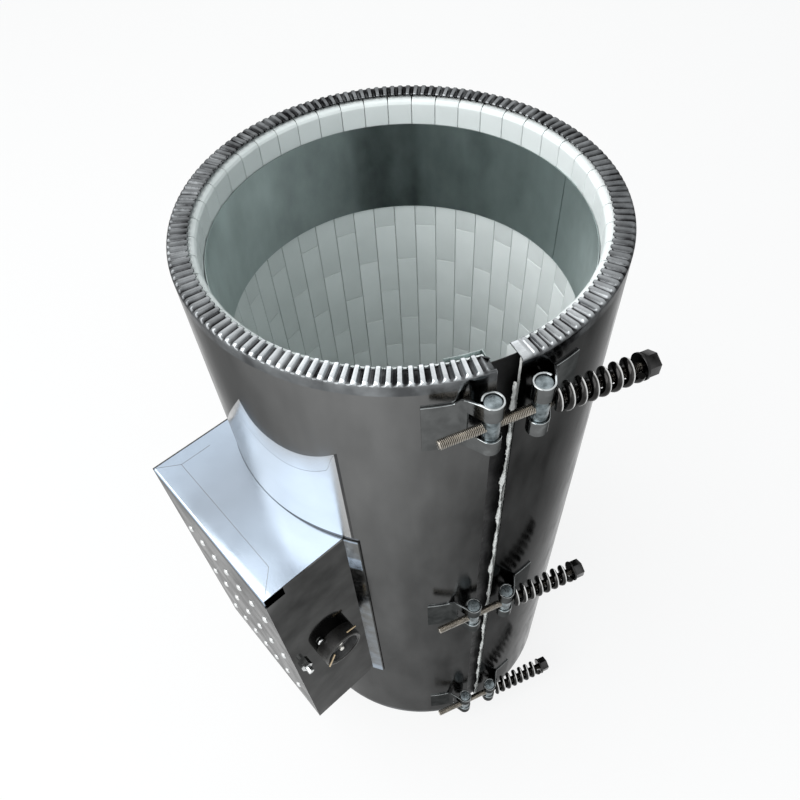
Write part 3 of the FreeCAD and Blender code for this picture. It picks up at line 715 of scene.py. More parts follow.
@dataclass
class BoxReflectionPatch(Band):
    """Painted reflection of the box's top on the shell's face above the terminal box, with the hem's line
    across it.

    Azimuths are in degrees; a cusp at its far end falls off on both sides.
    """

    start: float = 165.0
    cusp: float = 185.1
    end: float = 211.5
    low: float = 427.4 * MM
    valley: float = 522.5 * MM
    valley_azimuth: float = 198.0
    cusp_height: float = 548.5 * MM
    hem: float = 503.5 * MM
    hem_azimuth: float = 197.0
    hem_turn: float = 208.4
    lift: float = 0.06 * MM
    thin: float = 0.45 * MM
    curve: float = 0.069 * MM
    peak: float = 14.0 * MM
    peak_reach: float = 1.6
    slope: float = 3.7 * MM
    bow: float = 0.085 * MM
    corner_drop: float = 1.4 * MM
    least_drop: float = 1.2 * MM

    def top(self, azimuth: Array) -> Array:
        """Height of the patch's upper edge.

        Past the cusp it is valley + curve * (azimuth - valley_azimuth)^2 plus a peak
        that dies away from the cusp; before the cusp it is a straight slope.

        Args:
            azimuth: Where it is taken, in degrees.

        Returns:
            The edge's height at each azimuth.
        """
        right = self.valley + self.curve * (azimuth - self.valley_azimuth) ** 2
        right = right + self.peak * np.exp(-(azimuth - self.cusp) / self.peak_reach)
        left = self.cusp_height - self.slope * (self.cusp - azimuth)
        return np.where(azimuth > self.cusp, right, left)

    def line(self, azimuth: Array) -> Array:
        """Height of the hem's line: a shallow bow that turns up to the patch's near corner.

        Args:
            azimuth: Where it is taken, in degrees.

        Returns:
            The line's height at each azimuth.
        """
        bow = self.hem + self.bow * (azimuth - self.hem_azimuth) ** 2
        rise = smooth_step(azimuth, self.hem_turn, self.end)
        return bow * (1.0 - rise) + (self.top(azimuth) - self.corner_drop) * rise

    def build(self) -> bpy.types.Object:
        """Builds the patch as rows between its low edge, the hem's line and its upper edge.

        Its low edge and its last one are dark lines of painted shade.

        Returns:
            The patch's object.
        """
        azimuth = np.concatenate([
            np.linspace(self.start, self.cusp, 50), np.linspace(self.cusp + 0.02, self.end, 110),
            [self.end + 0.03, self.end + 0.8],
        ])
        top = self.top(azimuth)
        line = np.minimum(self.line(azimuth), top - self.least_drop)
        thin = self.thin
        gap = self.low + (0.6 + 2.6 * smooth_step(azimuth, 182.0, 206.0)) * MM
        rows = [np.full_like(azimuth, self.low), gap]
        rows.extend(gap + 0.1 * MM + (line - thin - gap) * share for share in np.linspace(0.0, 1.0, 14))
        middle = len(rows)
        rows.append(line)
        rows.extend(line + thin + (top - line - thin) * share for share in np.linspace(0.0, 1.0, 7))
        heights = np.stack(rows)
        # Painted reflection, paler towards its far end; the hem's line is a painted dark line across it.
        tone = np.full_like(heights, 0.60) + 0.28 * smooth_step(azimuth, 178.0, 206.0)
        tone[middle] -= 0.75 * smooth_step(azimuth, 178.0, 190.0)
        tone[middle + 1:] -= 0.06
        tone[:2] = 0.0
        tone[:, -2:] = 0.0
        build = Patchwork()
        build.add_grid(polar(self.radius + self.lift, np.radians(azimuth)[None], heights), tone)
        return build.piece("box_reflection_patch", PATCH_STEEL, self.body)


@dataclass
class Lining(Band):
    """Bricks of the ceramic lining, in columns with staggered joints."""

    columns: int = 45
    brick: float = 74.2 * MM
    joint: float = 0.3 * MM
    chamfer: float = 0.45 * MM
    crown: float = 4.6 * MM
    arc_points: int = 5
    uneven: float = 0.10 * MM
    painted_light_side: float = math.radians(-39.0)
    painted_light_swing: float = 0.34
    tone_spread: float = 0.06

    def ends(self) -> tuple[Array, Array, Array]:
        """Low end, high end and column number of every brick, as in the CAD model.

        Returns:
            The three arrays, each with a value for every brick.
        """
        high_end = self.height - self.lining_low
        rows = []
        for column in range(self.columns):
            high = high_end
            length = self.brick / 2.0 if column % 2 == 0 else self.brick
            while high - self.lining_low > 10.0 * self.joint:
                low = max(high - length, self.lining_low)
                rows.append((low, high, column))
                high = low - self.joint
                length = self.brick
        table = np.array(rows)
        return table[:, 0], table[:, 1], table[:, 2]

    def build(self) -> bpy.types.Object:
        """Builds every brick from a closed section carried across its width in four columns.

        The section has its two front corners rounded, widely at the rims. The two
        outer columns stand back by the chamfer where the section is near the front.

        Returns:
            The lining's object.
        """
        low, high, column = self.ends()
        pitch = (FULL_TURN - self.arc(self.lining_gap)) / self.columns
        angle = self.seam_azimuth + self.arc(self.lining_gap) / 2.0 + (column + 0.5) * pitch
        half = self.lining_radius * math.tan(pitch / 2.0) - self.joint / 2.0
        random = np.random.default_rng(11)
        front = (self.lining_radius + random.uniform(0.0, self.uneven, len(low)))[:, None]
        up = np.where(high > high.max() - self.joint, self.crown, self.chamfer)[:, None]
        down = np.where(low < low.min() + self.joint, self.crown, self.chamfer)[:, None]
        turn = np.linspace(QUARTER_TURN, math.pi, self.arc_points)[None]
        back = np.full((len(low), 1), self.lining_radius + self.brick_depth)
        radius = np.concatenate([
            back, back, front + up * (1.0 + np.cos(turn)), front + down * (1.0 + np.cos(turn[:, ::-1])),
        ], axis=1)
        height = np.concatenate([
            low[:, None], high[:, None],
            high[:, None] - up * (1.0 - np.sin(turn)), low[:, None] + down * (1.0 - np.sin(turn[:, ::-1])),
        ], axis=1)
        across = np.array([-half, self.chamfer - half, half - self.chamfer, half])
        outermost = np.array([True, False, False, True])
        corners = radius[:, None, :] + np.zeros((1, 4, 1))
        near_front = corners - front[:, None] < self.chamfer
        corners = np.where(outermost[None, :, None] & near_front, front[:, None] + self.chamfer, corners)
        cosine, sine = np.cos(angle)[:, None, None], np.sin(angle)[:, None, None]
        side = across[None, :, None]
        level = height[:, None, :] + np.zeros((1, 4, 1))
        placed = np.stack([corners * cosine - side * sine, corners * sine + side * cosine, level], axis=-1)
        count = radius.shape[1]
        first = np.arange(3)[:, None] * count + np.arange(count)[None]
        second = np.arange(3)[:, None] * count + (np.arange(count)[None] + 1) % count
        quads = np.stack([first, second, second + count, first + count], axis=-1).reshape(-1, 4)
        caps = np.stack([np.arange(count)[::-1], np.arange(count) + 3 * count])
        # Painted light: the bricks are paler on one side of the lining and darker across from it.
        lit = 0.5 + self.painted_light_swing * np.cos(angle - self.painted_light_side)
        tone = (lit + random.uniform(-self.tone_spread, self.tone_spread, len(low)))[:, None]
        build = Patchwork()
        build.add_shape(placed.reshape(len(low), -1, 3), tone, quads, caps)
        return build.piece("lining_bricks", CERAMIC, self.body, 20.0)


@dataclass
class Hoop(Band):
    """Thin strip sprung against the bricks, with a lap behind its slit."""

    low: float = 509.2 * MM
    high: float = 582.7 * MM
    inner: float = 123.95 * MM
    strip: float = 0.5 * MM
    slit: float = 0.8 * MM
    lap: float = 26.0 * MM
    azimuth: float = math.radians(-17.0)
    dark_reflection_middle: float = 53.0

    def build(self) -> bpy.types.Object:
        """Builds the strip and its lap as two slabs.

        Returns:
            The hoop's object.
        """
        build = Patchwork()
        half = self.slit / self.inner / 2.0
        self._slab(build, self.inner, np.linspace(half, FULL_TURN - half, 361))
        half = self.lap / self.inner / 2.0
        self._slab(build, self.inner + self.strip, np.linspace(-half, half, 24))
        return build.piece("hoop_strip", HOOP_STEEL, self.body)

    def _slab(self, build: Patchwork, inner: float, turn: Array) -> None:
        """Adds one layer of the strip, with a painted reflection: dark where it faces the split and paler
        away from there.

        Args:
            build: What the layer is added to.
            inner: Its inner radius.
            turn: Its azimuths from the slit, in radians.
        """
        azimuths = self.azimuth + turn
        place = off_middle(np.degrees(azimuths), self.dark_reflection_middle)
        # A crisp dark band of painted reflection inside the broad dark one.
        deep = smooth_step(place, -13.0, -9.0) - smooth_step(place, 10.0, 15.0)
        tone = 0.62 - 0.34 * bump_at(place, 0.0, 58.0) - 0.13 * deep
        tone = tone + 0.03 * wavy(place / 60.0, 31)
        section = ring_section(inner, inner + self.strip, self.low, self.high)
        band_slab(section, azimuths, build, tone[:, None])


@dataclass
class Seam(Band):
    """Sheets and fibre that show in the split of the band."""

    channel: float = 0.35 * MM
    flange: float = 12.0 * MM
    back: float = 21.0 * MM
    play: float = 0.15 * MM
    tongue: float = 0.8 * MM
    overlap: float = 5.4 * MM
    joint: float = 0.3 * MM
    fibre_top: float = 20.0 * MM
    fibre_rows: int = 1100
    fibre_sides: int = 12
    fibre_grain: float = 100.0 * MM
    fibre_radius: float = 140.6 * MM
    fibre_inset: float = 1.6 * MM
    fibre_sway: float = 0.9 * MM

    def edge(self) -> float:
        """Azimuth of the lining's left end."""
        return self.seam_azimuth - self.arc(self.lining_gap) / 2.0

    def build(self) -> None:
        """Builds the channel, the tongue and the frayed fibre."""
        low, high = self.lining_low, self.height - self.lining_low
        inner = self.lining_radius - self.channel
        outer = self.radius - self.sheet - self.play
        web = self.edge() + self.joint / self.lining_radius
        build = Patchwork()
        for near, far, start, end in (
            (inner, outer, web, web + self.channel / self.lining_radius),
            (outer - self.channel, outer, web - self.flange / outer, web),
            (inner, self.lining_radius, web - self.back / inner, web),
        ):
            band_slab(ring_section(near, far, low, high), np.linspace(start, end, 9), build)
        channel = build.piece("channel_sheet", CHANNEL_STEEL, self.body)
        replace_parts(channel, "end_channel")
        near = self.lining_radius + self.brick_depth + self.joint
        start = web + self.channel / self.lining_radius
        end = self.edge() + self.arc(self.lining_gap + self.overlap)
        build = Patchwork()
        band_slab(ring_section(near, near + self.tongue, low, high), np.linspace(start, end, 9), build)
        tongue = build.piece("tongue_strip", TONGUE_STEEL, self.body)
        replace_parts(tongue, "seam_tongue")
        self.fibre()

    def fibre(self) -> bpy.types.Object:
        """Builds the mat's torn edge: a flattened rope along Z whose width, thickness and place wander.

        Returns:
            The rope's object.
        """
        heights = np.linspace(self.lining_low, self.height - self.fibre_top, self.fibre_rows)
        turn = FULL_TURN * np.arange(self.fibre_sides) / self.fibre_sides
        grain = heights / self.fibre_grain
        torn = wavy(grain, 3, 9, 2.3)
        width = np.clip(0.8 + 1.6 * torn, 0.08, 2.5) * MM
        thick = np.clip(0.9 + 0.4 * wavy(grain, 4, 8, 2.1), 0.3, 1.4) * MM
        middle = self.seam_azimuth + self.arc(self.seam_gap) / 2.0 - self.arc(self.fibre_inset)
        sway = middle + self.arc(self.fibre_sway) * wavy(grain, 6, 7, 0.9)
        radius = self.fibre_radius + thick[:, None] * np.sin(turn)
        azimuth = sway[:, None] + width[:, None] * np.cos(turn) / self.radius
        build = Patchwork()
        build.add_tube(polar(radius, azimuth, heights[:, None]))
        return build.piece("fibre_edge", FIBRE, self.body)


@dataclass
class Clamp:
    """One clamp across the split; sizes are the CAD model's, lengths in metres."""

    place: str
    level: float
    seam_azimuth: float = math.radians(-108.6)
    shell_radius: float = 142.5 * MM
    stand: float = 10.0 * MM
    offset: float = 14.7 * MM
    pin: float = 10.0 * MM
    above: float = 19.5 * MM
    below: float = 21.0 * MM
    strap_sheet: float = 1.3 * MM
    strap_half: float = 20.5 * MM
    plate_above: float = 11.7 * MM
    plate_below: float = 27.5 * MM
    strap_reach: float = 47.8 * MM
    window: float = 17.6 * MM
    neck: float = 16.0 * MM
    bend: float = 5.0 * MM
    play: float = 0.05 * MM
    opening: float = 52.0
    screw: float = 6.0 * MM
    tip: float = 45.5 * MM
    spring: float = 56.6 * MM
    spring_width: float = 16.5 * MM
    wire: float = 4.8 * MM
    turns: float = 7.0
    seat: float = 0.2 * MM
    washer: float = 1.6 * MM
    washer_width: float = 16.5 * MM
    head: float = 8.0 * MM
    flats: float = 13.0 * MM
    pitch: float = 1.0 * MM
    thread: float = 0.6 * MM
    thread_steps: int = 6
    thread_sides: int = 20
    wire_steps: int = 28
    wire_sides: int = 16
    stripe: tuple[float, float] = (math.radians(22.5), 0.36)
    sleeve_fade: tuple[float, float] = (145.0 * MM, 150.0 * MM)
    ease: float = 0.25 * MM
    pin_ease: float = 0.5 * MM
    head_ease: float = 0.7 * MM
    tip_ease: float = 0.8 * MM
    washer_play: float = 0.3 * MM

    def axes(self) -> tuple[Array, Array, Array]:
        """Directions along the screw to its head, outward, and up.

        Returns:
            The three directions, each of length 1.
        """
        outward = np.array([math.cos(self.seam_azimuth), math.sin(self.seam_azimuth), 0.0])
        along = np.array([-outward[1], outward[0], 0.0])
        return along, outward, UP

    def at(self, along: Array, outward: Array, up: Array) -> Array:
        """Points from distances along the screw, out from the bore's axis, and above the screw.

        Args:
            along: Distances along the screw.
            outward: Distances from the bore's axis.
            up: Distances above the screw.

        Returns:
            Array of the points, of the three arrays' common shape and 3.
        """
        one, two, three = self.axes()
        along, outward, up = np.broadcast_arrays(along, outward, up)
        return along[..., None] * one + outward[..., None] * two + (up[..., None] + self.level) * three

    def on_axis(self, along: Array | float) -> Array:
        """Points of the screw's axis, at distances from midway over the split."""
        return self.at(np.array(along), np.array(self.shell_radius + self.stand), np.array(0.0))

    def build(self) -> list[tuple[Patchwork, Patchwork]]:
        """Builds the moving pieces, and returns the straps and pins of the left and the right side.

        Returns:
            Strap and pin of the left side, then of the right side.
        """
        self.screw_piece()
        self.spring_piece()
        self.washer_piece()
        return [(self.strap(sign), self.barrel(sign)) for sign in (-1.0, 1.0)]

    def spring_start(self) -> float:
        """Where the spring begins, along the screw."""
        return self.offset + self.pin / 2.0 + self.seat

    def washer_start(self) -> float:
        """Where the washer begins, along the screw."""
        return self.spring_start() + self.spring + self.seat

    def strap_line(self) -> tuple[Array, Array, int, int]:
        """Middle line of the right strap's sheet and its normals, in distances along and outward.

        It runs on the shell, bends out round a centre above the shell, goes straight
        and wraps the pin.

        Returns:
            Points, normals, and where the straight part starts and ends.
        """
        plate = self.shell_radius + self.strap_sheet / 2.0
        eye = self.pin / 2.0 + self.play + self.strap_sheet / 2.0
        pin = np.array([self.offset, self.shell_radius + self.stand])
        far = self.strap_reach / self.shell_radius
        near = (self.offset + self.neck) / self.shell_radius
        bend = (plate + self.bend) * np.array([math.sin(near), math.cos(near)])
        apart = pin - bend
        reach = float(np.hypot(*apart))
        heading = math.atan2(apart[1], apart[0])
        travel = heading - math.asin((self.bend + eye) / reach)
        flat = np.linspace(far, near, 20)
        flat_normals = np.stack([np.sin(flat), np.cos(flat)], axis=-1)
        start = travel - QUARTER_TURN
        swing = np.linspace(QUARTER_TURN - near, start, 8)[1:]
        bend_normals = np.stack([np.cos(swing), np.sin(swing)], axis=-1)
        wrap = np.linspace(start, start + math.radians(360.0 - self.opening), 42)
        eye_normals = np.stack([np.cos(wrap), np.sin(wrap)], axis=-1)
        bend_line = bend - self.bend * bend_normals
        eye_line = pin + eye * eye_normals
        share = np.linspace(0.0, 1.0, 8)[1:-1, None]
        straight = bend_line[-1] + share * (eye_line[0] - bend_line[-1])
        straight_normals = np.repeat(bend_normals[-1:], len(straight), axis=0)
        points = np.concatenate([plate * flat_normals, bend_line, straight, eye_line])
        normals = np.concatenate([flat_normals, bend_normals, straight_normals, eye_normals])
        return points, normals, len(flat) + len(swing) - 1, len(flat) + len(swing) + len(straight)

    def strap(self, sign: float) -> Patchwork:
        """Builds one strap: the plate, and an upper and a lower sleeve past the window for the screw.

        Args:
            sign: -1 for the left strap, 1 for the right one.

        Returns:
            The strap's surface.
        """
        line, normals, start, end = self.strap_line()
        index = np.arange(len(line))
        rise = smooth_step(index.astype(float), start - 8.0, end)
        top = self.plate_above + (self.strap_half - self.plate_above) * rise
        bottom = -self.plate_below - (self.strap_half - self.plate_below) * rise
        gap = self.window / 2.0
        split = start + 2
        build = Patchwork()
        plate, eye = slice(None, split + 1), slice(split, None)
        window = np.full(len(line) - split, gap)
        self._sheet(build, sign, line[plate], normals[plate], (bottom[plate], top[plate]))
        self._sheet(build, sign, line[eye], normals[eye], (window, top[eye]))
        self._sheet(build, sign, line[eye], normals[eye], (bottom[eye], -window))
        return build

    def _sheet(
        self, build: Patchwork, sign: float, line: Array, normals: Array, between: tuple[Array, Array]
    ) -> None:
        """Adds sheet of the strap's thickness along a line, its edges eased and its upper edge a painted
        highlight.

        Args:
            build: What the sheet is added to.
            sign: -1 for the left strap, 1 for the right one.
            line: Middle line of the sheet, in distances along and outward.
            normals: Its normals.
            between: Its low and its high edge, from the screw's height.
        """
        low, high = between
        half, ease = self.strap_sheet / 2.0, self.ease
        offsets = np.array([half, half, half - ease, ease - half, -half, -half, ease - half, half - ease])
        place = line[:, None] + normals[:, None] * offsets[None, :, None]
        heights = np.stack([low + ease, high - ease, high, high, high - ease, low + ease, low, low], axis=1)
        # Painted light: a painted highlight on the upper edge, painted shade on the low edges, and the plate
        # by the shell darker than the sleeves.
        sleeve = np.array([0.42, 0.50, 0.95, 0.90, 0.40, 0.35, 0.3, 0.3])
        plate = np.array([0.32, 0.36, 0.85, 0.85, 0.30, 0.30, 0.3, 0.3])
        out = smooth_step(np.hypot(line[:, 0], line[:, 1]), *self.sleeve_fade)[:, None]
        build.add_tube(self.at(sign * place[..., 0], place[..., 1], heights), plate + (sleeve - plate) * out)

    def barrel(self, sign: float) -> Patchwork:
        """Builds one barrel pin as a turned bar with rounded end edges.

        Args:
            sign: -1 for the left pin, 1 for the right one.

        Returns:
            The pin's surface.
        """
        origin = self.on_axis(sign * self.offset)
        profile = eased_bar(-self.below, self.above, self.pin / 2.0, self.pin_ease)
        build = Patchwork()
        # Painted highlight: the pin's upper end is paler than the rest.
        tone = np.array([0.2, 0.2, 0.2, 0.2, 0.25, 0.35, 0.48, 0.48])[:, None]
        build.add_tube(turned(profile, origin, UP, 40), tone)
        return build

    def screw_piece(self) -> None:
        """Builds the threaded shank and the hexagon head.

        The thread's radius is the outer one less a triangle wave of (distance / pitch - turn).
        """
        along, _, side = self.axes()
        origin = self.on_axis(0.0)
        head_start = self.washer_start() + self.washer
        length = np.arange(-self.tip, head_start, self.pitch / self.thread_steps)
        turn = np.arange(self.thread_sides) / self.thread_sides
        wave = np.abs(((length[:, None] / self.pitch - turn[None]) % 1.0) - 0.5) * 2.0
        crest = smooth_step(wave, 0.1, 0.9)
        ease = np.clip((length + self.tip) / self.tip_ease, 0.0, 1.0)[:, None]
        radius = (self.screw / 2.0 - self.thread * (1.0 - crest)) * (0.8 + 0.2 * ease)
        angle = FULL_TURN * turn
        other = np.cross(along, side)
        around = np.cos(angle)[:, None] * side + np.sin(angle)[:, None] * other
        points = origin + length[:, None, None] * along + radius[..., None] * around
        build = Patchwork()
        # Painted shade: the thread is dark inside the spring; painted highlights on the crests and on the
        # tip.
        spring_shade = 0.12 + 0.88 * (length < self.spring_start())[:, None]
        build.add_tube(points, (0.12 + 0.55 * crest) * spring_shade + 0.4 * (1.0 - ease))
        shank = build.piece(f"screw_thread_{self.place}", THREAD_STEEL, f"{self.place}_screw")
        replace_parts(shank, f"clamp_screw_{self.place}")
        corner = self.flats / 2.0 / math.cos(math.pi / 6.0)
        profile = eased_bar(head_start, head_start + self.head, corner, self.head_ease)
        build = Patchwork()
        build.add_tube(turned(profile, origin, along, 6, 0.5))
        build.piece(f"screw_head_{self.place}", HEAD_STEEL, f"{self.place}_screw", 20.0)

    def spring_piece(self) -> None:
        """Builds the round wire wound into a helix.

        Along t from 0 to 1 the wire's centre is at (pitch line of t, mean radius, turn of t).
        Its tone is a painted highlight on a narrow stripe that faces along the screw and outward.
        """
        start = self.spring_start() + self.wire / 2.0
        share = np.linspace(0.0, 1.0, int(self.turns * self.wire_steps) + 1)
        travel = self.spring - self.wire
        angle = FULL_TURN * self.turns * share
        mean = (self.spring_width - self.wire) / 2.0
        turn = FULL_TURN * np.arange(self.wire_sides) / self.wire_sides
        reach = mean + self.wire / 2.0 * np.cos(turn)[None, :]
        along = (start + travel * share)[:, None] + self.wire / 2.0 * np.sin(turn)[None, :]
        points = self.at(
            along,
            self.shell_radius + self.stand + reach * np.cos(angle)[:, None],
            reach * np.sin(angle)[:, None],
        )
        # The bright stripe is a painted highlight.
        stripe = bump_at(turn, *self.stripe)
        build = Patchwork()
        build.add_tube(points, 0.3 + 0.7 * stripe[None] + np.zeros((len(share), 1)))
        piece = build.piece(f"spring_wire_{self.place}", SPRING_STEEL, None)
        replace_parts(piece, f"clamp_spring_{self.place}")
        reach = np.array([self.spring_start(), self.spring_start() + self.spring])
        pin_end, head_end = self.on_axis(reach).tolist()
        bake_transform(piece)

    def washer_piece(self) -> None:
        """Builds the washer as a ring with eased edges."""
        start = self.washer_start()
        end = start + self.washer
        outer, inner, ease = self.washer_width / 2.0, self.screw / 2.0 + self.washer_play, self.ease
        profile = np.array([
            [start, inner], [start, outer - ease], [start + ease, outer],
            [end - ease, outer], [end, outer - ease], [end, inner],
        ])
        build = Patchwork()
        ring = turned(profile, self.on_axis(0.0), self.axes()[0], 40)
        build.add_grid(ring, wrap_rows=True, wrap_columns=True)
        piece = build.piece(f"washer_{self.place}", WASHER_STEEL, f"{self.place}_spring_stack")
        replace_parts(piece, f"clamp_washer_{self.place}")


def join(patches: list[Patchwork]) -> Patchwork:
    """One collection out of several.

    Args:
        patches: The collections.

    Returns:
        A new collection with all their points and faces.
    """
    build = Patchwork()
    for patch in patches:
        first = build.add_points(np.concatenate(patch.points), np.concatenate(patch.tones))
        build.faces.extend(tuple(first + corner for corner in face) for face in patch.faces)
    return build


def clamps() -> None:
    """Builds the three clamps, with the straps and the pins of each side as one piece."""
    sides: dict[str, list[tuple[Patchwork, Patchwork]]] = {"left": [], "right": []}
    for place, level in (("top", 573.5 * MM), ("middle", 308.0 * MM), ("bottom", 57.0 * MM)):
        for side, pieces in zip(sides.values(), Clamp(place, level).build()):
            side.append(pieces)
    for name, pieces in sides.items():
        straps = join([strap for strap, _ in pieces]).piece(f"strap_sheets_{name}", STRAP_STEEL, "band")
        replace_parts(straps, f"clamp_straps_{name}")
        pins = join([pin for _, pin in pieces]).piece(f"pin_bars_{name}", PIN_ZINC, "band")
        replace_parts(pins, f"barrel_pins_{name}")


@dataclass
class TerminalBox:
    """Folded cover, near plate with its flange, power inlet; sizes are the CAD model's, in metres."""

    reach: float = 193.7 * MM
    near: float = 70.0 * MM
    cover_near: float = -68.7 * MM
    cover_far: float = 74.1 * MM
    low: float = 147.0 * MM
    high: float = 427.0 * MM
    sheet: float = 1.0 * MM
    shell: float = 142.8 * MM
    fold: float = 2.0 * MM
    notch: tuple[float, float] = (16.0 * MM, 9.0 * MM)
    flange: float = 12.0 * MM
    hem_front: float = 18.0 * MM
    hem_far: float = 11.0 * MM
    hem_end: float = 22.0 * MM
    hem_corner: float = 1.5 * MM
    hem_half: float = 0.22 * MM
    hem_lift: float = 0.05 * MM
    dimple: float = 3.0 * MM
    dimple_rise: float = 1.6 * MM
    dimple_pitch: float = 17.3 * MM
    dimple_row: float = 81.0 * MM
    dimple_drop: float = 68.0 * MM
    inlet_inset: float = 39.2 * MM
    inlet_rise: float = 140.0 * MM
    inlet_radius: float = 18.0 * MM
    inlet_wall: float = 1.4 * MM
    inlet_out: float = 13.0 * MM
    inlet_screws: float = 21.6 * MM
    inlet_tilt: float = math.radians(35.0)
    inlet_foot: float = -0.5 * MM
    inlet_bore: float = 15.2 * MM
    inlet_lip: float = 11.6 * MM
    inlet_sides: int = 56
    contact_apart: float = 6.5 * MM
    contact: tuple[float, ...] = (-4.0 * MM, 10.0 * MM, 2.4 * MM, 1.4 * MM)
    screw_head: tuple[float, ...] = (0.0, 2.2 * MM, 3.0 * MM, 1.0 * MM)
    strip: tuple[float, float] = (0.8 * MM, 0.5 * MM)
    plate_start: float = 124.5 * MM
    plate_span: float = 69.2 * MM
    body: str = "band"

    def build(self) -> None:
        """Builds every piece of the box that is seen."""
        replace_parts(self.cover(), "box_cover")
        self.hem_lines()
        self.dimples()
        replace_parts(self.near_plate(), "box_near_plate")
        self.foot()
        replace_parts(self.inlet(), "inlet_body")
        self.inlet_details()

    def cover_line(self, across: Array, inward: float) -> tuple[Array, Array]:
        """Line of the cover's sheet from the shell out, down and back, at each distance across.

        Args:
            across: The distances across the box.
            inward: How far the line is moved in from the sheet's outer side.

        Returns:
            Distances X and Z of its points, a row for each distance across.
        """
        rows = len(across)
        edge = -np.sqrt(self.shell**2 - across**2)
        bend = np.linspace(0.0, QUARTER_TURN, 6)
        share = np.linspace(0.0, 1.0, 12)
        front = self.fold - self.reach
        radius = self.fold - inward
        top_x = edge[:, None] + (front - edge)[:, None] * share
        fold_x = np.tile(front - radius * np.sin(bend), (rows, 1))
        face_z = np.linspace(self.high - self.fold, self.low + self.fold, 24)[1:-1]
        face_x = np.full((rows, len(face_z)), inward - self.reach)
        upper_z = self.high - self.fold + radius * np.cos(bend)
        x = np.concatenate([top_x, fold_x, face_x, fold_x[:, ::-1], top_x[:, ::-1]], axis=1)
        z = np.concatenate([
            np.full(len(share), self.high - inward), upper_z, face_z,
            self.low + self.high - upper_z[::-1], np.full(len(share), self.low + inward),
        ])
        return x, np.tile(z, (rows, 1))

    def cover(self) -> bpy.types.Object:
        """Builds the folded sheet with painted light: bright on top, dark on its outer face and darker
        towards its foot, with a painted highlight on the upper fold.

        Returns:
            The cover's object.
        """
        across = np.linspace(self.cover_near, self.cover_far, 73)
        front = self.fold - self.reach
        outer_x, outer_z = self.cover_line(across, 0.0)
        inner_x, inner_z = self.cover_line(across, self.sheet)
        x = np.concatenate([outer_x, inner_x[:, ::-1]], axis=1)
        z = np.concatenate([outer_z, inner_z[:, ::-1]], axis=1)
        y = np.tile(across[:, None], (1, x.shape[1]))
        level = (outer_z - self.low) / (self.high - self.low)
        on_face = outer_x < front - 0.8 * self.fold
        # Painted reflection: the top is paler towards both ends.
        near_end_reflection = 0.07 * smooth_step(-across, -20.0 * MM, self.near)[:, None]
        far_end_reflection = 0.10 * smooth_step(across, 10.0 * MM, self.cover_far)[:, None]
        tone = np.where(on_face, 0.02 + 0.27 * level, 0.80 + near_end_reflection + far_end_reflection)
        fold_highlight = np.abs(np.hypot(outer_x - front, outer_z - (self.high - self.fold)) - self.fold) < 0.01 * MM
        tone = np.where(fold_highlight & (outer_x < front - 0.1 * MM) & (outer_z > self.high - self.fold), 1.0, tone)
        # The underside is a darker painted shade, and the inner side painted shade.
        tone = np.where(level < 0.004, 0.3, tone)
        tones = np.concatenate([tone, np.full_like(tone, 0.1)], axis=1)
        build = Patchwork()
        build.add_tube(np.stack([x, y, z], axis=-1), tones)
        return build.piece("cover_sheet", COVER_STEEL, self.body)

    def hem_lines(self) -> bpy.types.Object:
        """Builds the fine lines that the hems press into the cover's top, as flat strips of painted crease
        shade.

        Returns:
            The lines' object.
        """
        front = self.hem_front - self.reach
        far = self.cover_far - self.hem_far
        near = self.cover_near + self.hem_front
        corner_x = self.hem_corner - self.reach
        edge = -math.sqrt(self.shell**2 - far**2) - self.hem_end
        build = Patchwork()
        for start, end in (
            ((front, near), (front, far)), ((front, far), (edge, far)),
            ((front, far), (corner_x, self.cover_far)), ((front, near), (corner_x, self.cover_near)),
        ):
            run = np.array(end) - np.array(start)
            side = np.array([-run[1], run[0]]) / np.hypot(*run) * self.hem_half
            corners = np.array([np.array(start) - side, np.array(end) - side,
                                np.array(end) + side, np.array(start) + side])
            build.add_cap(np.column_stack([corners, np.full(4, self.high + self.hem_lift)]), 0.62)
        return build.piece("cover_hem_lines", COVER_STEEL, self.body)

    def dimples(self) -> bpy.types.Object:
        """Builds 21 pressed domes: radius r * sin(a) and rise h * cos(a), on the outer face.

        Returns:
            The dimples' object.
        """
        angle = np.linspace(QUARTER_TURN, 0.0, 7)[:-1]
        turn = FULL_TURN * np.arange(20) / 20.0
        middle = (self.cover_near + self.cover_far) / 2.0
        along, row = np.meshgrid(np.arange(7) - 3.0, np.arange(3), indexing="ij")
        y = (middle + along * self.dimple_pitch).reshape(-1, 1, 1)
        z = (self.high - self.dimple_drop - row * self.dimple_row).reshape(-1, 1, 1)
        reach = self.dimple * np.sin(angle)[None, :, None]
        rise = self.dimple_rise * np.cos(angle)[None, :, None]
        shape = np.stack(np.broadcast_arrays(
            -self.reach - rise + 0.0 * y, y + reach * np.cos(turn), z + reach * np.sin(turn),
        ), axis=-1)
        count = len(turn)
        ring = (np.arange(len(angle) - 1)[:, None] * count)
        step = np.arange(count)[None]
        following = (step + 1) % count
        corners = [ring + step, ring + following, ring + count + following, ring + count + step]
        quads = np.stack(corners, axis=-1)
        cap = (np.arange(count) + (len(angle) - 1) * count)[None]
        build = Patchwork()
        build.add_shape(shape.reshape(len(shape), -1, 3), 0.5, quads.reshape(-1, 4), cap)
        return build.piece("pressed_dimples", DIMPLE_STEEL, self.body)

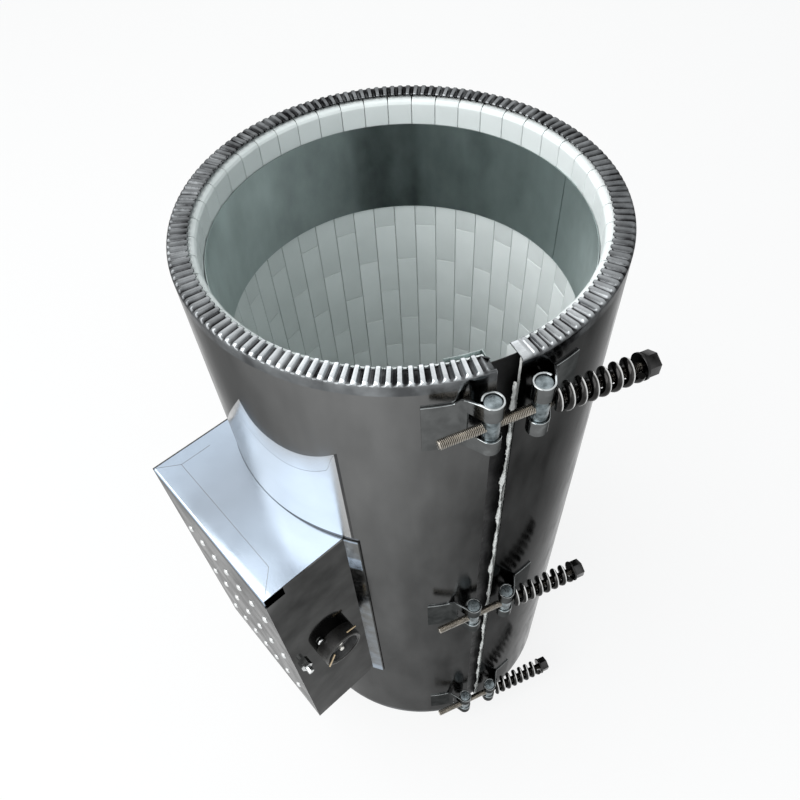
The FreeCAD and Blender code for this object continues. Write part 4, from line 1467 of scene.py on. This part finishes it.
    def near_plate(self) -> bpy.types.Object:
        """Builds the plate whose upper outer corner is cut away, with painted reflection: paler towards its
        front edge and its foot.

        Returns:
            The plate's object.
        """
        inner = -math.sqrt(self.shell**2 - self.near**2)
        cut_x, cut_z = self.notch[0] - self.reach, self.high - self.notch[1]
        outline = np.array([
            [-self.reach, self.low], [inner, self.low], [inner, self.high],
            [cut_x, self.high], [cut_x, cut_z], [-self.reach, cut_z],
        ])
        build = Patchwork()
        lower_z = np.linspace(self.low, cut_z, 20)
        self._plate_face(build, np.concatenate([[-self.reach], np.linspace(cut_x, inner, 9)]), lower_z)
        self._plate_face(build, np.linspace(cut_x, inner, 9), np.linspace(cut_z, self.high, 3))
        ends = [-self.near, self.sheet - self.near]
        rim = np.stack([np.column_stack([outline[:, 0], np.full(6, y), outline[:, 1]]) for y in ends])
        build.add_grid(rim, 0.5, wrap_columns=True)
        # The plate's inner side is painted shade.
        build.add_cap(rim[1], 0.2)
        return build.piece("near_plate", PLATE_STEEL, self.body)

    def _plate_face(self, build: Patchwork, x: Array, z: Array) -> None:
        """Adds one part of the plate's outer face.

        Args:
            build: What the part is added to.
            x: Its columns, along X.
            z: Its rows, in height.
        """
        grid_x, grid_z = np.meshgrid(x, z, indexing="ij")
        outward = (-grid_x - self.plate_start) / self.plate_span
        level = (grid_z - self.low) / (self.high - self.low)
        # Painted reflection, paler outward and towards the foot.
        tone = 0.19 + 0.13 * outward * (1.2 - level) + 0.06 * (1.0 - level)
        build.add_grid(np.stack([grid_x, np.full_like(grid_x, -self.near), grid_z], axis=-1), tone)

    def foot(self) -> bpy.types.Object:
        """Builds the plate's flange on the shell, in painted highlight and reflection streaks from its foot
        up, with a painted shadow line for the gap beside it.

        Returns:
            The flange's object.
        """
        start = math.pi + math.asin((self.near - self.sheet) / self.shell)
        sweep = self.flange / self.shell
        across = start + sweep * np.array([0.0, 0.3, 0.6, 0.90, 0.93, 1.0])
        # Height and painted light of each row: the bright rows are painted highlights and reflections.
        height, bright = np.array([
            (0.0, 0.80), (8.0, 0.85), (16.0, 0.62), (60.0, 0.56), (120.0, 0.54),
            (205.0, 0.52), (213.0, 0.46), (215.0, 0.14), (233.0, 0.12), (236.0, 1.00),
            (251.0, 0.95), (254.0, 0.55), (277.5, 0.50), (280.0, 1.00),
        ]).T
        heights = self.low + height * MM
        tone = np.repeat(bright[None], len(across), axis=0)
        # The last columns are the gap's painted shadow line, and the inner side is painted shade.
        tone[4:] = 0.0
        build = Patchwork()
        outer = polar(self.shell + self.sheet, across[:, None], heights[None])
        inner = polar(self.shell, across[:, None], heights[None, ::-1])
        build.add_tube(np.concatenate([outer, inner], axis=1), np.concatenate([tone, tone * 0.0], axis=1))
        return build.piece("near_flange", FLANGE_STEEL, self.body)

    def inlet_point(self, x: float, out: float, up: float) -> Array:
        """Point from the inlet's centre: along X, out of the plate and up."""
        centre = np.array([self.inlet_inset - self.reach, -self.near, self.low + self.inlet_rise])
        return centre + [x, -out, up]

    def inlet(self) -> bpy.types.Object:
        """Builds the inlet's barrel with a rounded rim, and the open socket in it.

        Returns:
            The barrel's object.
        """
        turn = np.linspace(0.0, math.pi, 7)
        wall, outer = self.inlet_wall, self.inlet_radius
        lip = np.stack([
            self.inlet_out - wall + wall * np.sin(turn), outer - wall + wall * np.cos(turn),
        ], axis=-1)
        profile = np.concatenate([[[self.inlet_foot, outer]], lip, [[self.inlet_foot, self.inlet_bore]]])
        angle = 360.0 * np.arange(self.inlet_sides) / self.inlet_sides
        # Painted light on the barrel: one side lit and the other dark, and a painted highlight round the rim
        # that fades out on one side.
        side_painted_light = 0.08 + 0.80 * smooth_step(np.abs(off_middle(angle, 75.0)), 55.0, 110.0)
        lip_painted_highlight = 0.75 - 0.75 * bump_at(angle, 300.0, 40.0)
        on_lip = (profile[:, :1] > self.inlet_lip) & (profile[:, 1:] < outer)
        cup = MM * np.array([
            [12.0, 15.2], [12.0, 14.6], [4.6, 14.6], [4.0, 14.0], [4.0, 0.1], [-4.0, 0.1], [-4.0, 15.2],
        ])
        barrel_tone = np.where(on_lip, lip_painted_highlight[None], side_painted_light[None])
        made = []
        for name, finish, shape, tone in (
            ("inlet_barrel", PHENOLIC, profile, barrel_tone), ("inlet_cup", GREY_PHENOLIC, cup, 0.5),
        ):
            build = Patchwork()
            grid = turned(shape, self.inlet_point(0.0, 0.0, 0.0), OUT_OF_PLATE, self.inlet_sides)
            build.add_grid(grid, tone, wrap_rows=True, wrap_columns=True)
            made.append(build.piece(name, finish, self.body))
        return made[0]

    def inlet_details(self) -> None:
        """Builds the contact pins, the flange screws and the terminal strips round the socket."""
        pins = Patchwork()
        for up in (-self.contact_apart, self.contact_apart):
            place = self.inlet_point(0.0, 0.0, up)
            pins.add_tube(turned(eased_bar(*self.contact), place, OUT_OF_PLATE, 24))
        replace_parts(pins.piece("inlet_pins", CONTACT, self.body), "inlet_contacts")
        screws = Patchwork()
        for reach in (-self.inlet_screws, self.inlet_screws):
            place = self.inlet_point(
                reach * math.sin(self.inlet_tilt), 0.0, -reach * math.cos(self.inlet_tilt)
            )
            screws.add_tube(turned(eased_bar(*self.screw_head), place, OUT_OF_PLATE, 28))
        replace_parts(screws.piece("inlet_screw_heads", SCREW_ZINC, self.body), "inlet_screws")
        strips = Patchwork()
        for start, end in (((17.2, 9.0, 14.8), (7.8, 9.0, 16.4)), ((-9.3, 13.4, 7.8), (-16.8, 13.4, -6.6))):
            first = self.inlet_point(*(value * MM for value in start))
            run = self.inlet_point(*(value * MM for value in end)) - first
            reach = float(np.linalg.norm(run))
            strips.add_tube(turned(eased_bar(0.0, reach, *self.strip), first, run / reach, 12))
        strips.piece("inlet_strips", TAN_STRIP, self.body)


@dataclass
class Studio:
    """Floor, lights, background and camera."""

    focal_pixels: float = 718.27
    frame_pixels: float = 800.0
    sensor: float = 36.0
    eye: Triple = (-0.2342, -0.2798, 0.8797)
    azimuth: float = math.radians(51.3)
    pitch: float = math.radians(52.244)
    roll: float = math.radians(-4.181)
    floor_reach: float = 6.0
    floor_glow: float = 0.82

    def build(self) -> None:
        """Sets the scene up round the object."""
        self.camera()
        self.background()
        self.floor()
        self.lights()

    def camera(self) -> None:
        """Places the camera where the photograph was taken from."""
        forward = np.array([
            math.cos(self.azimuth) * math.cos(self.pitch),
            math.sin(self.azimuth) * math.cos(self.pitch),
            -math.sin(self.pitch),
        ])
        right = np.array([math.sin(self.azimuth), -math.cos(self.azimuth), 0.0])
        up = np.cross(right, forward)
        tilted_right = math.cos(self.roll) * right + math.sin(self.roll) * up
        tilted_up = -math.sin(self.roll) * right + math.cos(self.roll) * up
        data = bpy.data.cameras.new("photo_camera")
        data.sensor_width = self.sensor
        data.lens = self.focal_pixels * self.sensor / self.frame_pixels
        data.clip_start = 0.01
        item = bpy.data.objects.new("photo_camera", data)
        matrix = np.eye(4)
        matrix[:3, :3] = np.stack([tilted_right, tilted_up, -forward], axis=1)
        matrix[:3, 3] = self.eye
        item.matrix_world = Matrix(matrix.tolist())
        bpy.context.scene.collection.objects.link(item)
        bpy.context.scene.camera = item

    def background(self) -> None:
        """White behind the object and in its reflections, soft grey light on it."""
        world = bpy.data.worlds.new("studio_world")
        bpy.context.scene.world = world
        world.use_nodes = True
        graph = Graph(world.node_tree)
        graph.nodes.clear()
        soft = graph.glow("ShaderNodeBackground", (0.86, 0.93, 0.95), 0.55)
        white = graph.glow("ShaderNodeBackground", (1.0, 1.0, 1.0), 1.0)
        mix = graph.add("ShaderNodeMixShader", {0: graph.seen_directly(), 1: soft, 2: white})
        graph.add("ShaderNodeOutputWorld", {"Surface": mix.outputs["Shader"]})

    def floor(self) -> None:
        """Plain white floor that keeps a faint shadow of the object."""
        mesh = bpy.data.meshes.new("studio_floor")
        far = self.floor_reach
        corners = [(-far, -far, 0.0), (far, -far, 0.0), (far, far, 0.0), (-far, far, 0.0)]
        mesh.from_pydata(corners, [], [(0, 1, 2, 3)])
        item = bpy.data.objects.new("studio_floor", mesh)
        material = bpy.data.materials.new("pale_floor")
        material.use_nodes = True
        graph = Graph(material.node_tree)
        shader = graph.nodes["Principled BSDF"]
        graph.feed(shader, {"Base Color": (0.86, 0.86, 0.86, 1.0), "Roughness": 0.9})
        glow = graph.glow("ShaderNodeEmission", (1.0, 1.0, 1.0), 1.0)
        share = graph.maths("MULTIPLY", graph.seen_directly(), self.floor_glow)
        mix = graph.add("ShaderNodeMixShader", {0: share, 1: shader.outputs["BSDF"], 2: glow})
        graph.feed(graph.nodes["Material Output"], {"Surface": mix.outputs["Shader"]})
        mesh.materials.append(material)
        bpy.context.scene.collection.objects.link(item)

    def lights(self) -> None:
        """Large soft lamps above and beside the object."""
        for name, place, size, power, colour in (
            ("key", (-1.3, 0.3, 2.3), 2.6, 58.0, (1.0, 1.0, 1.0)),
            ("fill", (-0.6, -2.4, 1.7), 2.4, 9.0, (0.96, 0.98, 1.0)),
            ("back", (1.6, 2.2, 2.0), 2.4, 10.0, (1.0, 1.0, 1.0)),
        ):
            data = bpy.data.lights.new(name, "AREA")
            data.size = size
            data.energy = power
            data.color = colour
            item = bpy.data.objects.new(name, data)
            item.location = place
            item.rotation_euler = self.aim(np.array([0.0, 0.0, 0.3]) - np.array(place))
            bpy.context.scene.collection.objects.link(item)

    @staticmethod
    def aim(direction: Array) -> tuple[float, float, float]:
        """Euler angles that turn -Z along a direction."""
        return Vector(direction).to_track_quat("-Z", "Y").to_euler()


def dress(nodes: dict[str, bpy.types.Object], finishes: dict[str, Finish]) -> None:
    """Gives kept CAD nodes their finishes.

    Args:
        nodes: The frame's node objects by name.
        finishes: Finish by node name.
    """
    for name, finish in finishes.items():
        data = nodes[name].data
        data.materials.clear()
        data.materials.append(finish.material())
        LOG.info("%s keeps its CAD mesh", name)


def main() -> None:
    """Builds every piece round the frame."""
    logging.basicConfig(level=logging.INFO)
    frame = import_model()
    bpy.context.scene.view_settings.view_transform = "Standard"
    Shell().build()
    BoxReflectionPatch().build()
    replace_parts(Lining().build(), "ceramic_bricks")
    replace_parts(Hoop().build(), "inner_hoop")
    Seam().build()
    clamps()
    TerminalBox().build()
    dress(frame["nodes"], {
        "box_far_plate": FAR_PLATE_STEEL, "earth_screw": SCREW_ZINC, "earth_nut": SCREW_ZINC,
        "lead_bushes": PLAIN_CERAMIC, "power_leads": COIL_WIRE, "terminal_block": PLAIN_CERAMIC,
        "terminal_screws": BRASS, "insulation_blanket": FIBRE, "heating_coils": COIL_WIRE,
    })
    Studio().build()


if __name__ == "__main__":
    main()
